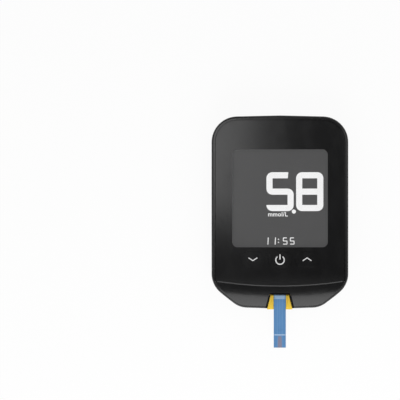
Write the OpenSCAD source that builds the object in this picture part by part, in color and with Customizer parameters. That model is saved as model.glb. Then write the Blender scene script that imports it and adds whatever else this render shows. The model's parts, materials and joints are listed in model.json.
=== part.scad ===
// Pocket blood glucose meter, lying on its back with the display up.
// X runs across the meter, Y from the test strip end to the data port end, Z from the back to the face.
// The origin is on the back, at the middle of the body. All sizes are in millimetres.

/* [Body] */
// Width of the body across its straight sides
body_w = 60; // [58:0.5:63]
// Length of the body from the window's upper edge to the data port end
head_l = 14.9; // [14.5:0.1:18]
// Thickness of the body from the back to the face
body_t = 11; // [11:0.1:12.5]
// Height of the parting line between the two housings
parting_z = 4.6; // [4.3:0.1:4.8]
// Thickness of the side walls of both housings
wall = 1.6; // [1.5:0.1:1.9]
// Thickness of the rear housing's floor
back_wall = 1.4; // [1.3:0.1:1.5]
// Radius of the rounded edge round the face
face_edge_r = 1.2; // [0.6:0.1:1.4]
// Height of the rounded edge round the back
back_edge_h = 3; // [2:0.1:3.1]
// How far the rounded edge round the back draws in
back_edge_in = 2.6; // [1:0.1:3]
// Width and height of the shadow groove under the parting line
reveal = 0.25; // [0.1:0.05:0.35]

/* [Outline] */
// Drop of the end face from its middle to the far corners, at the data port end
top_bow = 0.7; // [0.3:0.1:1.5]
// Radius of the two corners at the data port end
top_corner_r = 11.3; // [8:0.1:13]
// Distance from the strip end at which the straight sides turn in
shoulder_y = 10.6; // [9:0.1:13]
// Radius where the straight sides turn in
shoulder_r = 10.6; // [8:0.1:12]
// Inward reach of the slanted flank at its middle
flank_in = 5.5; // [4.5:0.1:6]
// Distance of the slanted flank's middle from the strip end
flank_y = 5.8; // [5.2:0.1:6.4]
// Radius of the gentle bend in the middle of the flank
flank_r = 60; // [40:1:65]
// Inward reach of the lower corner
foot_in = 12.3; // [11.8:0.1:13.3]
// Radius of the two lower corners
foot_r = 9.8; // [7:0.1:10]
// Bow of the end face at the strip end
foot_bow = 0.56; // [0.4:0.02:0.9]
// Radius of the bend in the middle of both end faces
end_bend_r = 90; // [60:1:120]

/* [Face panel] */
// Thickness of the black front panel and of the clear window in it
panel_t = 1.2; // [1.1:0.1:1.3]
// Width of the housing rim that shows round the panel
rim_w = 1.5; // [1.3:0.1:2]
// Radius of the panel's polished edge
panel_edge_r = 0.3; // [0.1:0.05:0.4]
// Radius of the panel's two corners at the strip end
panel_corner_r = 1.6; // [0.8:0.1:3]
// Thickness of the housing under the panel
front_wall = 1.2; // [1.1:0.1:1.3]
// Clearance round the panel in its recess
panel_gap = 0.08; // [0.06:0.01:0.15]

/* [Chin] */
// Distance from the strip end to the crease where the chin begins
crease_y = 9.7; // [9:0.1:10.5]
// Radius of the crease, seen from above
crease_r = 190; // [150:5:260]
// Radius of the chin's profile
chin_r = 22; // [20:0.5:30]
// Slope of the chin where it leaves the crease, in degrees
chin_start = 6; // [3:0.5:9]
// Drop from the face to the chin at the crease
chin_step = 0.35; // [0.2:0.05:0.45]

/* [Display] */
// Width of the clear window
window_w = 42; // [38:0.5:43]
// Length of the clear window
window_l = 43; // [40:0.5:43]
// Distance from the window's lower edge to the strip end
window_y = 27.1; // [27.1:0.1:28.5]
// Corner radius of the clear window
window_r = 2.4; // [1:0.1:4]
// Width of the bonding flange round the window's underside
window_flange_w = 0.8; // [0.5:0.1:0.9]
// Thickness of that flange
window_flange_t = 0.5; // [0.3:0.05:0.6]
// Thickness of the foam gasket between the panel and the display
gasket_t = 0.5; // [0.4:0.1:0.6]
// Width of the foam gasket's sides
gasket_w = 1; // [0.8:0.1:1.2]
// Reach of the display glass past the window on each side
glass_side = 1.5; // [1.3:0.1:1.7]
// Reach of the display glass past the window's lower edge
glass_foot = 0.6; // [0.5:0.05:0.65]
// Reach of the display glass past the window's upper edge
glass_head = 3.9; // [3.5:0.1:4.2]
// Length of the contact ledge at the glass's upper edge
glass_ledge = 2.6; // [2.2:0.1:3]
// Thickness of each of the two display glasses
glass_t = 1.1; // [0.9:0.1:1.1]
// Distance from the window's border to the polarising film's border
polariser_in = 1.3; // [0.8:0.1:2]
// Thickness of the polarising film
polariser_t = 0.2; // [0.1:0.05:0.3]
// Wall thickness of the holder round the display
holder_wall = 0.6; // [0.5:0.05:0.7]
// Floor thickness of the holder under the display
holder_floor = 0.6; // [0.4:0.1:0.7]

/* [Keys] */
// Width of a key cap
key_w = 10.4; // [8:0.1:10.6]
// Height of a key cap, along the body
key_h = 6.6; // [5:0.1:6.6]
// Corner radius of a key cap
key_corner_r = 2.9; // [1.5:0.1:3]
// Distance between the centres of neighbouring keys
key_pitch = 11.9; // [11.8:0.1:12.6]
// Distance from the key row to the strip end
key_y = 21.7; // [21:0.1:21.7]
// Gap round a key cap in the front panel
key_gap = 0.12; // [0.08:0.01:0.2]
// Width of the flange that keeps a key under the panel
key_flange_w = 0.45; // [0.35:0.05:0.45]
// Thickness of that flange
key_flange_t = 0.8; // [0.6:0.1:0.9]
// Radius of the stem under a key
key_stem_r = 1.5; // [1:0.1:2]
// Travel of a key
key_travel = 0.25; // [0.2:0.05:0.3]
// Side of a square key switch
switch_w = 4.5; // [4:0.1:5]
// Height of a key switch's housing
switch_h = 1.3; // [1.2:0.1:1.4]
// Radius of a key switch's plunger
plunger_r = 1; // [0.7:0.1:1.2]
// Height of the plunger above the switch
plunger_out = 0.5; // [0.4:0.05:0.6]

/* [Circuit board] */
// Thickness of the circuit board
board_t = 0.8; // [0.7:0.1:0.8]
// Gap between the board and the side walls
board_gap = 0.6; // [0.4:0.1:1]
// Gap between the board and the end wall at the data port end
board_end_gap = 0.9; // [0.6:0.1:1.2]
// Radius of a board screw's shaft
screw_r = 0.8; // [0.7:0.05:0.9]
// Radius of a board screw's head
screw_head_r = 1.6; // [1.4:0.1:1.8]
// Height of a board screw's head
screw_head_h = 1; // [0.8:0.1:1.1]
// Length of a board screw's shaft
screw_l = 2.6; // [2.2:0.1:2.8]
// Radius of a screw boss in the front housing
boss_r = 2; // [1.8:0.1:2.2]
// Distance of the upper bosses from the middle
boss_top_x = 22; // [20:0.5:22.5]
// Distance of the upper bosses from the data port end
boss_top_y = 7.4; // [7:0.1:7.8]
// Distance of the lower bosses from the middle
boss_foot_x = 21; // [20:0.5:22]
// Distance of the lower bosses from the strip end
boss_foot_y = 14.2; // [13.8:0.1:14.6]
// Side of the square processor
processor_w = 7; // [5:0.5:8]
// Distance of the processor from the middle, to the right
processor_x = 12; // [10:0.5:13]
// Distance of the processor from the strip end
processor_y = 26.7; // [26:0.1:29]

/* [Battery] */
// Radius of the coin cell
cell_r = 10; // [9.8:0.1:10.2]
// Height of the coin cell
cell_h = 3.2; // [3:0.1:3.2]
// Distance from the cell's centre to the data port end
cell_y = 18; // [17.5:0.5:19]
// Clearance round the cell in its well
cell_gap = 0.3; // [0.2:0.05:0.4]
// Thickness of the well's wall
well_wall = 1; // [0.8:0.1:1.2]
// Space above the cell for its spring contact
contact_space = 0.6; // [0.55:0.05:0.7]
// Thickness of the sheet that the battery contacts are made from
contact_t = 0.15; // [0.1:0.05:0.2]
// Width of the side contact's spring
side_contact_w = 4; // [3:0.5:5]
// Width of the battery door between its rails
door_w = 25; // [24:0.5:26]
// Length of the battery door
door_l = 30; // [30:0.5:32]
// Gap round the battery door
door_gap = 0.12; // [0.1:0.01:0.15]
// How far the door's face lies inside the back
door_inset = 0.1; // [0.05:0.05:0.15]
// Reach of the rail along each side of the door
rail_w = 0.9; // [0.6:0.1:1.2]
// Thickness of that rail
rail_t = 0.5; // [0.4:0.05:0.55]
// Thickness of the plate that the door slides under
bay_t = 0.8; // [0.6:0.1:1]
// Number of grip grooves across the door
grip_count = 5; // [3:1:7]
// Distance between neighbouring grip grooves
grip_pitch = 1.3; // [1.1:0.1:1.5]
// Length of the grip grooves across the door
grip_w = 11; // [8:0.5:14]

/* [Strip port] */
// Length of the open notch over the strip
notch_l = 6.55; // [6.3:0.05:6.8]
// Width of the notch at its inner end
notch_top_w = 9.6; // [9.2:0.1:10]
// Width of the notch at the strip end
notch_foot_w = 12.9; // [12.3:0.1:13.5]
// How far the notch's inner wall leans over the strip from the face down to the tray
notch_lean = 0.9; // [0.7:0.05:1]
// Corner radius at the notch's inner end
notch_r = 0.9; // [0.4:0.1:1.4]
// Thickness of the walls round the notch
notch_wall = 1; // [0.9:0.05:1.2]
// Width of the ledge from the notch's walls to the tray
notch_ledge_w = 0.8; // [0.6:0.05:1]
// Gap between the ledge and the tray
tray_gap = 0.12; // [0.08:0.01:0.2]
// How far the tray stands out of the strip end
tray_out = 0.3; // [0.1:0.05:0.5]
// Thickness of the tray's flange
tray_flange_t = 0.8; // [0.7:0.05:0.9]
// Reach of the tray's flange past the notch on each side
tray_flange_w = 1.6; // [1:0.1:2]
// Height of the low guides beside the strip
guide_h = 0.3; // [0.2:0.05:0.4]
// Width of the low guides beside the strip
guide_w = 0.6; // [0.4:0.1:0.8]
// Width of the test strip
strip_w = 5.3; // [5:0.1:5.6]
// Length of the test strip that stands out of the body
strip_out = 17.1; // [12:0.1:20]
// Depth to which the strip goes into its connector
strip_in = 8.2; // [7.8:0.1:8.4]
// Thickness of the strip's base film
strip_base_t = 0.35; // [0.3:0.05:0.4]
// Thickness of the strip's cover film
strip_cover_t = 0.15; // [0.1:0.05:0.2]
// Length of bare base film at the strip's inner end, for the contacts
strip_bare_l = 5.2; // [4.8:0.1:5.6]
// Clearance under and beside the strip
strip_gap = 0.05; // [0.04:0.01:0.08]
// Clearance over the strip in its slot
slot_gap = 0.15; // [0.1:0.05:0.2]
// Width of the strip connector
connector_w = 9.4; // [9:0.1:10]
// Length of the strip connector
connector_l = 10.2; // [10:0.1:10.3]
// Height of the strip connector above the board
connector_h = 2.3; // [2.2:0.1:2.4]
// Floor thickness of the strip connector
connector_floor = 0.5; // [0.4:0.05:0.6]
// Distance between neighbouring strip contacts
strip_pitch = 1.05; // [1:0.05:1.1]
// Width of a strip contact
strip_contact_w = 0.5; // [0.4:0.05:0.55]

/* [Data port] */
// Width of the data socket's shell
socket_w = 7.5; // [7.4:0.1:7.8]
// Height of the data socket's shell
socket_h = 2.45; // [2.4:0.05:2.5]
// Length of the data socket's shell
socket_l = 5.3; // [5:0.1:5.5]
// Thickness of the shell's sheet
socket_sheet = 0.25; // [0.2:0.05:0.3]
// Gap round the socket in the housing wall
socket_gap = 0.35; // [0.2:0.05:0.4]
// How far the socket's mouth lies inside the end face
socket_inset = 0.3; // [0.1:0.1:0.6]

/* [Buzzer] */
// Radius of the buzzer
buzzer_r = 4.8; // [4:0.1:5]
// Height of the buzzer
buzzer_h = 2.4; // [2:0.1:2.6]
// Distance of the buzzer from the middle, to the left
buzzer_x = 14; // [12:0.5:16]
// Distance of the buzzer from the strip end
buzzer_y = 26; // [23:0.5:28]
// Radius of a sound hole in the back
sound_hole_r = 0.5; // [0.4:0.05:0.7]
// Distance between neighbouring sound holes
sound_pitch = 2; // [1.6:0.1:2.4]

/* [Hidden] */

$fn = 96;
arc_step = 5; // degrees between the points of an outline's arcs
chin_step_l = 1.5; // spacing of the outline's points beside the chin
eps = 0.01; // overlap that joins or cuts cleanly
far = 30; // longer than any cut has to reach
fit = 0.05; // clearance between pieces that are pressed or bonded together
free = 0.15; // clearance between pieces that are laid into each other

// The body is as long as its chin and keys, its window and its head together
body_l = window_y + window_l + head_l;
half_w = body_w / 2;
half_l = body_l / 2;

// Levels from the face down
seat_z = body_t - panel_t;
ceiling_z = seat_z - front_wall;
glass_top_z = seat_z - gasket_t;
glass_mid_z = glass_top_z - glass_t;
glass_low_z = glass_mid_z - glass_t;

// Levels from the back up
door_top_z = back_wall - door_gap;
cell_z = back_wall;
cell_top_z = cell_z + cell_h;
board_z = cell_top_z + contact_space;
board_top_z = board_z + board_t;
slot_floor_z = board_top_z + connector_floor;
strip_z = slot_floor_z + strip_gap;
strip_base_z = strip_z + strip_base_t;
strip_top_z = strip_base_z + strip_cover_t;
slot_top_z = strip_top_z + slot_gap;

// Places along the body
window_mid_y = -half_l + window_y + window_l / 2;
glass_w = window_w + 2 * glass_side;
glass_l = window_l + glass_foot + glass_head;
glass_mid_y = window_mid_y + (glass_head - glass_foot) / 2;
glass_head_y = glass_mid_y + glass_l / 2;
ledge_y = glass_head_y - glass_ledge;
key_row_y = -half_l + key_y;
crease_mid_y = -half_l + crease_y;
crease_axis_y = crease_mid_y + crease_r;
notch_y = -half_l + notch_l;
tray_in = notch_ledge_w + tray_gap;
tray_end_y = notch_y + notch_wall;
connector_y = tray_end_y + free;
strip_end_y = connector_y + strip_in;
strip_tip_y = -half_l - strip_out;
cell_mid_y = half_l - cell_y;
door_y = half_l - door_l;
buzzer_mid = [-buzzer_x, -half_l + buzzer_y];
processor_mid = [processor_x, -half_l + processor_y];
socket_y = half_l - socket_inset - socket_l;
boss_places = [[boss_top_x, half_l - boss_top_y], [-boss_top_x, half_l - boss_top_y],
    [boss_foot_x, -half_l + boss_foot_y], [-boss_foot_x, -half_l + boss_foot_y]];
key_places = [-key_pitch, 0, key_pitch];
strip_lines = [for (k = [-2 : 2]) k * strip_pitch];

// Lip that joins the housings, and the snaps along its straight sides
lip_h = 1.2;
lip_gap = 0.1;
lip_out = wall / 2 + lip_gap;
snap_reach = 0.3;
snap_h = 0.6;
snap_l = 4;
snap_places = [-16, 2, 20];

// Key switch levels, above the board
dome_z = 0.15;
dome_h = 0.18;
collar_h = 0.3;
plunger_z = dome_z + dome_h + key_travel + fit;
chamber_top = plunger_z + collar_h + 2 * fit;
plunger_top_z = board_top_z + switch_h + plunger_out;

plastic_black = [0.07, 0.07, 0.075];
panel_black = [0.05, 0.05, 0.055];
glass_grey = [0.62, 0.66, 0.66];
film_grey = [0.33, 0.33, 0.33];
steel = [0.75, 0.76, 0.78];
gold = [0.83, 0.68, 0.32];
board_green = [0.05, 0.3, 0.16];

// ---- Outlines, all clockwise and made of corners [x, y, radius, degrees per step] ----

function body_corners() = let (
        right = [[half_w, half_l - top_bow, top_corner_r],
            [half_w, -half_l + shoulder_y, shoulder_r],
            [half_w - flank_in, -half_l + flank_y, flank_r],
            [half_w - foot_in, -half_l + foot_bow, foot_r]])
    concat([[0, half_l, end_bend_r]], right, [[0, -half_l, end_bend_r]],
        [for (i = [len(right) - 1 : -1 : 0]) [-right[i][0], right[i][1], right[i][2]]]);

function rectangle_corners(w, l, r, x = 0, y = 0) =
    [[x + w / 2, y + l / 2, r], [x + w / 2, y - l / 2, r],
        [x - w / 2, y - l / 2, r], [x - w / 2, y + l / 2, r]];

function unit(v) = v / norm(v);
function left_of(v) = [-v[1], v[0]];
function at(list, i) = list[(i + len(list)) % len(list)];
function flat(p) = [p[0], p[1]];
function step_of(corner) = is_undef(corner[3]) ? arc_step : corner[3];

// Where the lines p + s u and q + t v meet.
function meeting(p, u, q, v) =
    p + u * (((q[0] - p[0]) * v[1] - (q[1] - p[1]) * v[0]) / (u[0] * v[1] - u[1] * v[0]));

// Moves every edge of an outline inwards by d, and its corner radii with it.
function inset_corners(corners, d) = [for (i = [0 : len(corners) - 1]) let (
        here = flat(corners[i]),
        u = unit(here - flat(at(corners, i - 1))),
        v = unit(flat(at(corners, i + 1)) - here),
        p = meeting(here - d * left_of(u), u, here - d * left_of(v), v))
    [p[0], p[1], max(corners[i][2] - d, 0.05), corners[i][3]]];

// Points along an outline whose corners are rounded.
function rounded(corners) = [for (i = [0 : len(corners) - 1]) let (
        here = flat(corners[i]),
        r = corners[i][2],
        u = unit(here - flat(at(corners, i - 1))),
        v = unit(flat(at(corners, i + 1)) - here),
        turn = acos(min(1, u * v)),
        first = here - r * tan(turn / 2) * u,
        centre = first - r * left_of(u),
        steps = max(2, ceil(turn / step_of(corners[i]))))
    for (k = [0 : steps]) let (a = turn * k / steps)
        centre + r * (left_of(u) * cos(a) + u * sin(a))];

function body_outline(inset) = rounded(inset_corners(body_corners(), inset));

// The body's outline with its straight stretches beside the chin cut into short steps.
function chin_outline(inset) = let (
        points = body_outline(inset),
        guide = body_outline(0))
    [for (i = [0 : len(points) - 1]) let (
        a = points[i],
        b = at(points, i + 1),
        low = min(guide[i][1], at(guide, i + 1)[1]) < crease_mid_y + crease_y / 3,
        cuts = low ? ceil(norm(at(guide, i + 1) - guide[i]) / chin_step_l) : 1)
        for (k = [0 : cuts - 1]) a + (b - a) * k / cuts];

// The panel's outline: the body's own round the window, and the crease at the strip end.
function panel_corners() = let (
        body = inset_corners(body_corners(), rim_w),
        side = half_w - rim_w,
        bend = asin((side - panel_corner_r) / crease_r),
        low = crease_axis_y - crease_r / cos(bend))
    [body[0], body[1], [side, low + side * tan(bend), panel_corner_r], [0, low, crease_r, 1],
        [-side, low + side * tan(bend), panel_corner_r], body[len(body) - 1]];

function panel_outline(inset) = rounded(inset_corners(panel_corners(), inset));

// The notch over the strip, run out past the strip end, and made shorter inside by back.
function notch_corners(back = 0) = let (
        flare = (notch_foot_w - notch_top_w) / 2 / notch_l,
        run = notch_l / 2,
        in = notch_top_w / 2 + back * flare,
        out = notch_foot_w / 2 + run * flare)
    [[in, notch_y - back, notch_r], [out, -half_l - run, fit],
        [-out, -half_l - run, fit], [-in, notch_y - back, notch_r]];

// ---- Chin ----

// Centre of the chin's profile, as [distance from the crease's axis, height].
chin_centre = [crease_r - chin_r * sin(chin_start), body_t - chin_step - chin_r * cos(chin_start)];

// Height of the front of the body over a point, chin included.
function face_height(p) = let (out = norm([p[0], p[1] - crease_axis_y]))
    out < crease_r ? body_t : chin_centre[1] + sqrt(max(0, pow(chin_r, 2) - pow(out - chin_centre[0], 2)));

// Everything over the chin's surface, which is lowered and begun earlier by depth.
module over_chin(depth = 0) {
    sweep = 24;
    start = crease_r - depth - panel_gap / 2;
    translate([0, crease_axis_y, 0])
        rotate([0, 0, -90 - sweep / 2])
            rotate_extrude(angle = sweep, $fn = 360)
                difference() {
                    translate([start, 0])
                        square([far, 2 * body_t]);
                    translate(chin_centre)
                        circle(r = chin_r - depth, $fn = 180);
                }
}

// ---- Solids from outlines ----

function lift(points, z) = [for (p = points) [p[0], p[1], z]];

// Solid through rings of equally many points, from the lowest ring to the highest, with flat ends.
module ring_solid(rings) {
    n = len(rings[0]);
    top = len(rings) - 1;
    low_mid = n * (top + 1);
    sides = [for (k = [0 : top - 1]) for (i = [0 : n - 1]) let (j = (i + 1) % n, a = k * n, b = (k + 1) * n)
        each [[a + i, a + j, b + j], [a + i, b + j, b + i]]];
    caps = [for (i = [0 : n - 1]) let (j = (i + 1) % n)
        each [[low_mid, j, i], [low_mid + 1, top * n + i, top * n + j]]];
    polyhedron(points = concat([for (ring = rings) each ring],
            [[0, 0, rings[0][0][2]], [0, 0, rings[top][0][2]]]),
        faces = concat(sides, caps), convexity = 4);
}

// Block between two heights with the given outline.
module plate(points, z0, z1) {
    translate([0, 0, z0])
        linear_extrude(height = z1 - z0)
            polygon(points);
}

// Block with rounded corners between two heights.
module rounded_block(w, l, r, z0, z1, x = 0, y = 0) {
    plate(rounded(rectangle_corners(w, l, r, x, y)), z0, z1);
}

// Block between its lowest corner a and its highest corner b.
module block(a, b) {
    translate(a)
        cube(b - a);
}

// ---- Housings ----

// Ring of the front's rounded edge, drawn in and lowered from the face.
function face_ring(inset, drop) = [for (p = chin_outline(inset)) [p[0], p[1], face_height(p) - drop]];

// Outside of the front housing as one solid, a little higher than the face.
module front_form() {
    over = 0.2;
    skin = 0.02;
    edge = [for (a = [0, 22, 45, 67, 90])
        face_ring(face_edge_r * (1 - cos(a)), face_edge_r * (1 - sin(a)) + skin)];
    ring_solid(concat([lift(chin_outline(0), parting_z)], edge,
        [lift(chin_outline(face_edge_r + fit), body_t + over)]));
}

// Snap on the front housing's lip, or with extra its pocket in the rear housing.
module snap(side, y, extra = 0) {
    face = half_w - lip_out;
    low = parting_z - lip_h / 2 - snap_h / 2;
    translate([0, y, 0])
        rotate([0, 0, side < 0 ? 180 : 0])
            translate([0, snap_l / 2 + extra, 0])
                rotate([90, 0, 0])
                    linear_extrude(height = snap_l + 2 * extra)
                        polygon([[face - wall / 4, low - extra], [face + extra, low - extra],
                            [face + snap_reach + extra, low + snap_h / 2 - extra],
                            [face + snap_reach + extra, low + snap_h + extra],
                            [face - wall / 4, low + snap_h + extra]]);
}

// Opening for the tray inside a ledge, and over both the room of the notch.
module notch_space() {
    plate(rounded(inset_corners(notch_corners(), notch_ledge_w)), parting_z - lip_h - 1, slot_floor_z + fit);
    hull() {
        plate(rounded(notch_corners(notch_lean)), slot_floor_z, slot_floor_z + fit);
        plate(rounded(notch_corners()), body_t, body_t + 1);
    }
}

module front_housing() {
    ceiling_join = 0.3;
    pilot_r = screw_r + fit;
    slot_w = notch_top_w - 2 * tray_in;
    socket_mid_z = board_top_z + socket_h / 2;
    key_room = key_flange_w + key_gap;
    opening_w = socket_w + 2 * socket_gap;
    opening_h = socket_h + 2 * socket_gap;
    opening_r = 0.9;
    color(plastic_black)
        difference() {
            union() {
                difference() {
                    front_form();
                    block([-far * 2, -far * 2, body_t], [far * 2, far * 2, body_t + 1]);
                    over_chin();
                    plate(panel_outline(0), seat_z, body_t + 1);
                    // hollow, open to the rear housing
                    difference() {
                        plate(body_outline(wall), parting_z - eps, ceiling_z);
                        over_chin(front_wall);
                    }
                }
                // lip that goes down into the rear housing
                difference() {
                    plate(body_outline(lip_out), parting_z - lip_h, parting_z + ceiling_join);
                    plate(body_outline(wall), parting_z - lip_h - 1, parting_z + 1);
                }
                for (side = [-1, 1], y = snap_places)
                    snap(side, y);
                // bosses for the board screws
                for (p = boss_places)
                    translate([p[0], p[1], board_top_z])
                        cylinder(r = boss_r, h = ceiling_z - board_top_z + ceiling_join);
                // walls round the notch, over the strip tray's flange
                difference() {
                    intersection() {
                        plate(rounded(inset_corners(notch_corners(), -notch_wall)),
                            parting_z + tray_flange_t + lip_gap, body_t);
                        plate(body_outline(wall / 2), 0, body_t);
                    }
                    over_chin(front_wall / 2);
                    // way for the strip and its tray
                    block([-slot_w / 2 - free, notch_y - notch_lean - 1, 0],
                        [slot_w / 2 + free, tray_end_y + 1, slot_top_z]);
                }
            }
            rounded_block(glass_w + 2 * free, glass_l + 2 * free, free,
                ceiling_z - 1, seat_z + eps, 0, glass_mid_y);
            for (x = key_places)
                rounded_block(key_w + 2 * key_room, key_h + 2 * key_room, key_corner_r,
                    ceiling_z - 1, seat_z + eps, x, key_row_y);
            for (p = boss_places)
                translate([p[0], p[1], board_top_z - 1])
                    cylinder(r = pilot_r, h = 1 + screw_l - board_t + free);
            notch_space();
            // opening for the data socket
            translate([0, half_l + 1, socket_mid_z])
                rotate([90, 0, 0])
                    linear_extrude(height = 1 + wall + board_end_gap)
                        polygon(rounded(rectangle_corners(opening_w, opening_h, opening_r)));
        }
}

// Outside of the rear housing as one solid, drawn in by shrink, up to a height.
module rear_form(shrink, top_z, groove = 0) {
    edge = [for (a = [0 : 15 : 90]) lift(body_outline(shrink + back_edge_in * (1 - sin(a))),
        shrink + (back_edge_h - shrink) * (1 - cos(a)))];
    rim = groove == 0 ? [lift(body_outline(shrink), top_z)]
        : [lift(body_outline(shrink), top_z - groove),
            lift(body_outline(shrink + groove), top_z - groove + eps),
            lift(body_outline(shrink + groove), top_z)];
    ring_solid(concat(edge, rim));
}

// Inside of the rear housing over its floor, following the rounded edge.
module rear_hollow() {
    edge = [for (a = [0, 30, 60, 90]) lift(body_outline(wall + back_edge_in * (1 - sin(a))),
        back_wall + (back_edge_h - back_wall) * (1 - cos(a)))];
    ring_solid(concat(edge, [lift(body_outline(wall), parting_z + 1)]));
}

// Space that the door slides in, with the grooves for its tongues.
module door_space() {
    half = door_w / 2 + door_gap;
    block([-half, door_y - door_gap, -1], [half, half_l + far, back_wall]);
    block([-half - rail_w, door_y - door_gap, rail_t], [half + rail_w, half_l + far, back_wall]);
}

module rear_housing() {
    bay_edge = 1.5;
    bay_half_w = door_w / 2 + rail_w + door_gap + bay_edge;
    well_r = cell_r + cell_gap;
    well_out_r = well_r + well_wall;
    ledge_t = 1;
    ledge_half_w = notch_top_w / 2 + tray_flange_w;
    ledge_places = [-half_l + wall + lip_gap + free, notch_y - ledge_t];
    color(plastic_black)
        difference() {
            union() {
                difference() {
                    rear_form(0, parting_z, reveal);
                    rear_hollow();
                    plate(body_outline(wall / 2), parting_z - lip_h - lip_gap, parting_z + 1);
                    door_space();
                }
                // plate that the door slides under
                intersection() {
                    plate(body_outline(wall / 2), back_wall, back_wall + bay_t);
                    block([-bay_half_w, door_y - bay_edge, back_wall],
                        [bay_half_w, half_l, back_wall + bay_t]);
                }
                translate([0, cell_mid_y, back_wall])
                    cylinder(r = well_out_r, h = board_z - free - back_wall);
                // ledges under the strip tray
                for (y = ledge_places)
                    block([-ledge_half_w, y, back_wall - free], [ledge_half_w, y + ledge_t, parting_z]);
            }
            translate([0, cell_mid_y, back_wall - 1])
                cylinder(r = well_r, h = far);
            // gap in the well for the side contact
            block([well_r - 1, cell_mid_y - side_contact_w / 2 - free, back_wall + bay_t],
                [well_out_r + free, cell_mid_y + side_contact_w / 2 + free, far]);
            // finger notch to lift the cell out
            translate([0, cell_mid_y - well_r, back_wall - 1])
                cylinder(r = 3, h = 1 + bay_t + free);
            for (side = [-1, 1], y = snap_places)
                snap(side, y, lip_gap);
            for (k = [-1 : 1])
                translate([buzzer_mid[0] + sound_pitch * k, buzzer_mid[1], -1])
                    cylinder(r = sound_hole_r, h = back_wall + 2);
        }
}

module battery_door() {
    groove_w = 0.6;
    groove_d = 0.35;
    grip_y = half_l - back_edge_in - 1.5;
    latch_w = 6;
    latch_l = 5;
    latch_slot = 0.5;
    color(plastic_black)
        difference() {
            intersection() {
                rear_form(door_inset, back_edge_h + eps);
                union() {
                    block([-door_w / 2, door_y, 0], [door_w / 2, half_l, door_top_z]);
                    block([-door_w / 2 - rail_w, door_y, rail_t + door_gap],
                        [door_w / 2 + rail_w, half_l, door_top_z]);
                }
            }
            for (k = [0 : grip_count - 1])
                block([-grip_w / 2, grip_y - k * grip_pitch - groove_w, -1],
                    [grip_w / 2, grip_y - k * grip_pitch, door_inset + groove_d]);
            // slots that free the latch tongue at the door's inner end
            for (side = [-1, 1])
                block([side * latch_w / 2 - latch_slot / 2, door_y - 1, -1],
                    [side * latch_w / 2 + latch_slot / 2, door_y + latch_l, far]);
        }
}

// ---- Front panel, window and display ----

module front_panel() {
    edge = [for (a = [0, 30, 60, 90]) lift(panel_outline(panel_gap + panel_edge_r * (1 - cos(a))),
        body_t - panel_edge_r * (1 - sin(a)))];
    color(panel_black)
        difference() {
            ring_solid(concat([lift(panel_outline(panel_gap), seat_z)], edge));
            rounded_block(window_w, window_l, window_r, seat_z - 1, body_t + 1, 0, window_mid_y);
            rounded_block(window_w + 2 * window_flange_w, window_l + 2 * window_flange_w,
                window_r + window_flange_w, seat_z - 1, seat_z + window_flange_t, 0, window_mid_y);
            for (x = key_places)
                rounded_block(key_w + 2 * key_gap, key_h + 2 * key_gap, key_corner_r + key_gap,
                    seat_z - 1, body_t + 1, x, key_row_y);
        }
}

module display_window() {
    flange = window_flange_w - fit;
    color(concat(glass_grey, [0.35]))
        union() {
            rounded_block(window_w - 2 * fit, window_l - 2 * fit, window_r - fit,
                seat_z, body_t, 0, window_mid_y);
            rounded_block(window_w + 2 * flange, window_l + 2 * flange, window_r + flange,
                seat_z, seat_z + window_flange_t - fit, 0, window_mid_y);
        }
}

module window_gasket() {
    outer_w = glass_w - 2 * fit;
    outer_l = window_l + 2 * glass_foot - 2 * fit;
    inner_w = outer_w - 2 * gasket_w;
    inner_l = window_l + 2 * fit;
    color([0.12, 0.12, 0.12])
        difference() {
            rounded_block(outer_w, outer_l, window_r, glass_top_z, seat_z, 0, window_mid_y);
            rounded_block(inner_w, inner_l, window_r, glass_top_z - 1, seat_z + 1, 0, window_mid_y);
        }
}

module display_polariser() {
    color(film_grey)
        rounded_block(window_w - 2 * polariser_in, window_l - 2 * polariser_in, 0.8,
            glass_top_z, glass_top_z + polariser_t, 0, window_mid_y);
}

module display_front_glass() {
    color(glass_grey)
        rounded_block(glass_w, glass_l, 0.3, glass_mid_z, glass_top_z, 0, glass_mid_y);
}

module display_rear_glass() {
    color(glass_grey)
        rounded_block(glass_w, glass_l - glass_ledge, 0.3, glass_low_z, glass_mid_z, 0,
            glass_mid_y - glass_ledge / 2);
}

module display_holder() {
    floor_edge = 2.5;
    outer_w = glass_w + 2 * free + 2 * holder_wall;
    outer_l = glass_l + 2 * free + 2 * holder_wall;
    color([0.85, 0.85, 0.83])
        difference() {
            rounded_block(outer_w, outer_l, 1, board_top_z, ceiling_z - free, 0, glass_mid_y);
            rounded_block(glass_w + 2 * free, glass_l + 2 * free, 0.4, glass_low_z, far, 0, glass_mid_y);
            // space under the floor, inside a rim that stands on the board
            rounded_block(outer_w - 2 * floor_edge, outer_l - 2 * floor_edge, 1,
                board_top_z - 1, glass_low_z - holder_floor, 0, glass_mid_y);
            // way for the connector strip from the board to the ledge
            block([-glass_w / 2 + floor_edge - free, ledge_y + fit, board_top_z - 1],
                [glass_w / 2 - floor_edge + free, glass_head_y - fit, far]);
        }
}

module zebra_connector() {
    edge = 2.5;
    color([0.55, 0.25, 0.4])
        block([-glass_w / 2 + edge, ledge_y + free, board_top_z],
            [glass_w / 2 - edge, glass_head_y - free, glass_mid_z]);
}

// ---- Circuit board and what stands on it ----

module circuit_board() {
    hole_r = screw_r + free;
    color(board_green)
        difference() {
            intersection() {
                plate(body_outline(wall + board_gap), board_z, board_top_z);
                block([-half_w, connector_y, board_z],
                    [half_w, half_l - wall - board_end_gap, board_top_z]);
            }
            for (p = boss_places)
                translate([p[0], p[1], board_z - 1])
                    cylinder(r = hole_r, h = board_t + 2);
        }
}

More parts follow.
